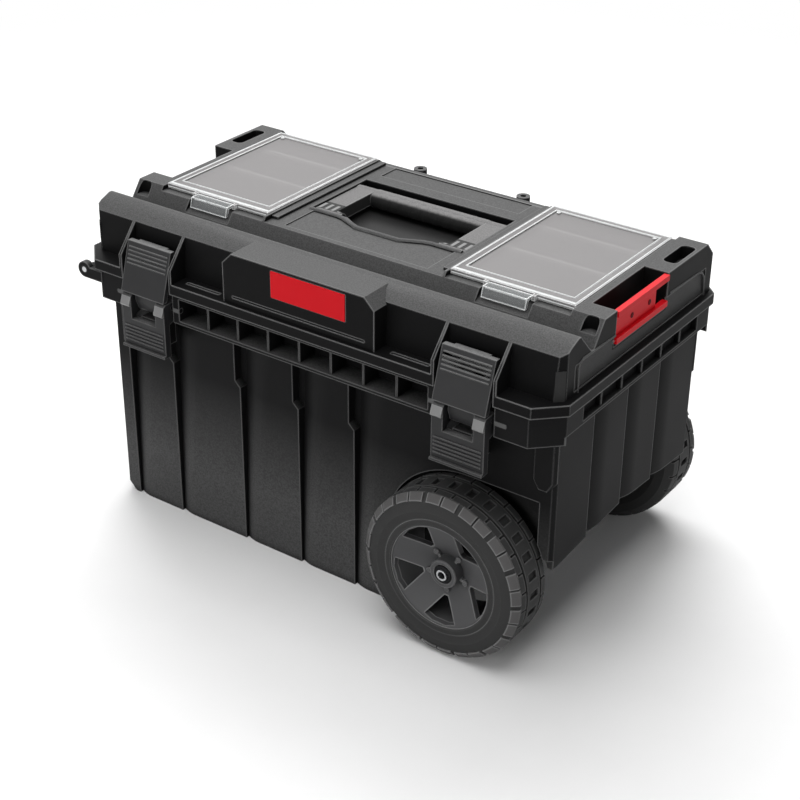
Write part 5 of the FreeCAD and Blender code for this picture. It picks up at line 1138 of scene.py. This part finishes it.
@dataclass
class Studio:
    """A pale floor, soft light and the camera at the photograph's angle, all in metres."""

    lens_mm: float = 75.53
    sensor_mm: float = 36.0
    shift: Flat = (0.0218, -0.0120)
    eye: Point = (0.9386, -1.3242, 1.0618)
    yaw_deg: float = 35.875
    pitch_deg: float = 29.059
    roll_deg: float = 0.222
    clip_end: float = 50.0
    floor_reach: float = 9.0
    floor_fade: Flat = (0.85, 2.1)
    paper_colours: tuple[str, str] = ("#ececec", "#efefef")
    paper_grain_mm: float = 3.0
    paper_roughness: float = 0.9
    paper_specular: float = 0.1
    ambient: float = 0.08
    lamps: Sequence[SoftBox] = field(default_factory=lambda: (
        SoftBox("back_softbox", (-0.9, 1.3, 2.2), (0.0, 0.0, 0.35), 2.4, 1.6, 80.0),
        SoftBox("top_softbox", (0.0, -0.6, 2.4), (0.0, -0.4, 0.0), 2.2, 2.0, 45.0),
        SoftBox("front_softbox", (0.0, -2.6, 1.1), (0.0, 0.0, 0.15), 1.8, 1.2, 23.0),
        SoftBox("right_softbox", (2.6, -0.2, 1.0), (0.0, 0.0, 0.2), 1.4, 1.2, 7.0),
    ))

    def build(self) -> None:
        """Set up the floor, the world, the lamps and the camera."""
        bpy.context.scene.view_settings.view_transform = "Standard"
        self.lay_floor()
        self.light_world()
        for lamp in self.lamps:
            lamp.hang()
        self.place_camera()

    def lay_floor(self) -> None:
        """Lay a pale plain floor under the box, which fades to white far from it."""
        reach = self.floor_reach
        mesh = bpy.data.meshes.new("floor")
        mesh.from_pydata([(-reach, -reach, 0), (reach, -reach, 0), (reach, reach, 0), (-reach, reach, 0)], [],
                         [(0, 1, 2, 3)])
        floor = bpy.data.objects.new("floor", mesh)
        bpy.context.scene.collection.objects.link(floor)
        material, tree = new_tree("white_studio_paper")
        grain = add_node(tree, "ShaderNodeTexNoise", {"Scale": per_metre(self.paper_grain_mm), "Detail": 2.0})
        dark, light = (linear(code) for code in self.paper_colours)
        tint = add_node(tree, "ShaderNodeMix", {"Factor": grain.outputs["Fac"], 6: dark, 7: light},
                        data_type="RGBA")
        paper = add_node(tree, "ShaderNodeBsdfPrincipled",
                         {"Base Color": tint.outputs[2], "Roughness": self.paper_roughness,
                          "Specular IOR Level": self.paper_specular})
        away = add_node(tree, "ShaderNodeVectorMath",
                        {0: add_node(tree, "ShaderNodeTexCoord").outputs["Object"]}, operation="LENGTH")
        far = add_node(tree, "ShaderNodeMapRange",
                       {"Value": away.outputs["Value"], "From Min": self.floor_fade[0],
                        "From Max": self.floor_fade[1], "To Min": 0.0, "To Max": self.seen(tree)})
        white = add_node(tree, "ShaderNodeEmission", {"Color": (1, 1, 1, 1), "Strength": 1.0})
        blend = add_node(tree, "ShaderNodeMixShader",
                         {0: far.outputs["Result"], 1: paper.outputs["BSDF"], 2: white.outputs[0]})
        add_node(tree, "ShaderNodeOutputMaterial", {"Surface": blend.outputs[0]})
        mesh.materials.append(material)

    def seen(self, tree: bpy.types.NodeTree) -> bpy.types.NodeSocket:
        """Find the rays that show the room itself, and don't light the object.

        Args:
            tree: The node tree that asks.

        Returns:
            A socket that is one for camera, glossy and transmission rays.
        """
        path = add_node(tree, "ShaderNodeLightPath")
        mirrored = add_node(tree, "ShaderNodeMath",
                            {0: path.outputs["Is Camera Ray"], 1: path.outputs["Is Glossy Ray"]},
                            operation="MAXIMUM")
        return add_node(tree, "ShaderNodeMath",
                        {0: mirrored.outputs[0], 1: path.outputs["Is Transmission Ray"]},
                        operation="MAXIMUM").outputs[0]

    def light_world(self) -> None:
        """Make the room white to the eye and to reflections, and dim as a light."""
        world = bpy.data.worlds.new("studio")
        bpy.context.scene.world = world
        world.use_nodes = True
        tree = world.node_tree
        tree.nodes.clear()
        level = add_node(tree, "ShaderNodeMapRange",
                         {"Value": self.seen(tree), "To Min": self.ambient, "To Max": 1.0})
        room = add_node(tree, "ShaderNodeBackground",
                        {"Color": (1, 1, 1, 1), "Strength": level.outputs["Result"]})
        add_node(tree, "ShaderNodeOutputWorld", {"Surface": room.outputs[0]})

    def place_camera(self) -> None:
        """Put the camera where the photograph was taken from."""
        lens = bpy.data.cameras.new("camera")
        lens.lens = self.lens_mm
        lens.sensor_width = self.sensor_mm
        lens.shift_x, lens.shift_y = self.shift
        lens.clip_end = self.clip_end
        camera = bpy.data.objects.new("camera", lens)
        yaw, pitch, roll = (math.radians(angle) for angle in (self.yaw_deg, self.pitch_deg, self.roll_deg))
        back = Vector((math.sin(yaw) * math.cos(pitch), -math.cos(yaw) * math.cos(pitch), math.sin(pitch)))
        across = Vector((math.cos(yaw), math.sin(yaw), 0))
        up = back.cross(across)
        side = math.cos(roll) * across + math.sin(roll) * up
        top = math.cos(roll) * up - math.sin(roll) * across
        turn = Matrix((side, top, back)).transposed()
        camera.matrix_world = Matrix.Translation(self.eye) @ turn.to_4x4()
        bpy.context.scene.collection.objects.link(camera)
        bpy.context.scene.camera = camera


def main() -> None:
    """Build each sub-assembly in order."""
    logging.basicConfig(level=logging.INFO, format="%(message)s")
    for part in (Shell(), Organisers(), CarryHandle(), Latches(), RunningGear(), TowBail(), Studio()):
        part.build()
        LOG.info("%s done", type(part).__name__)


if __name__ == "__main__":
    main()
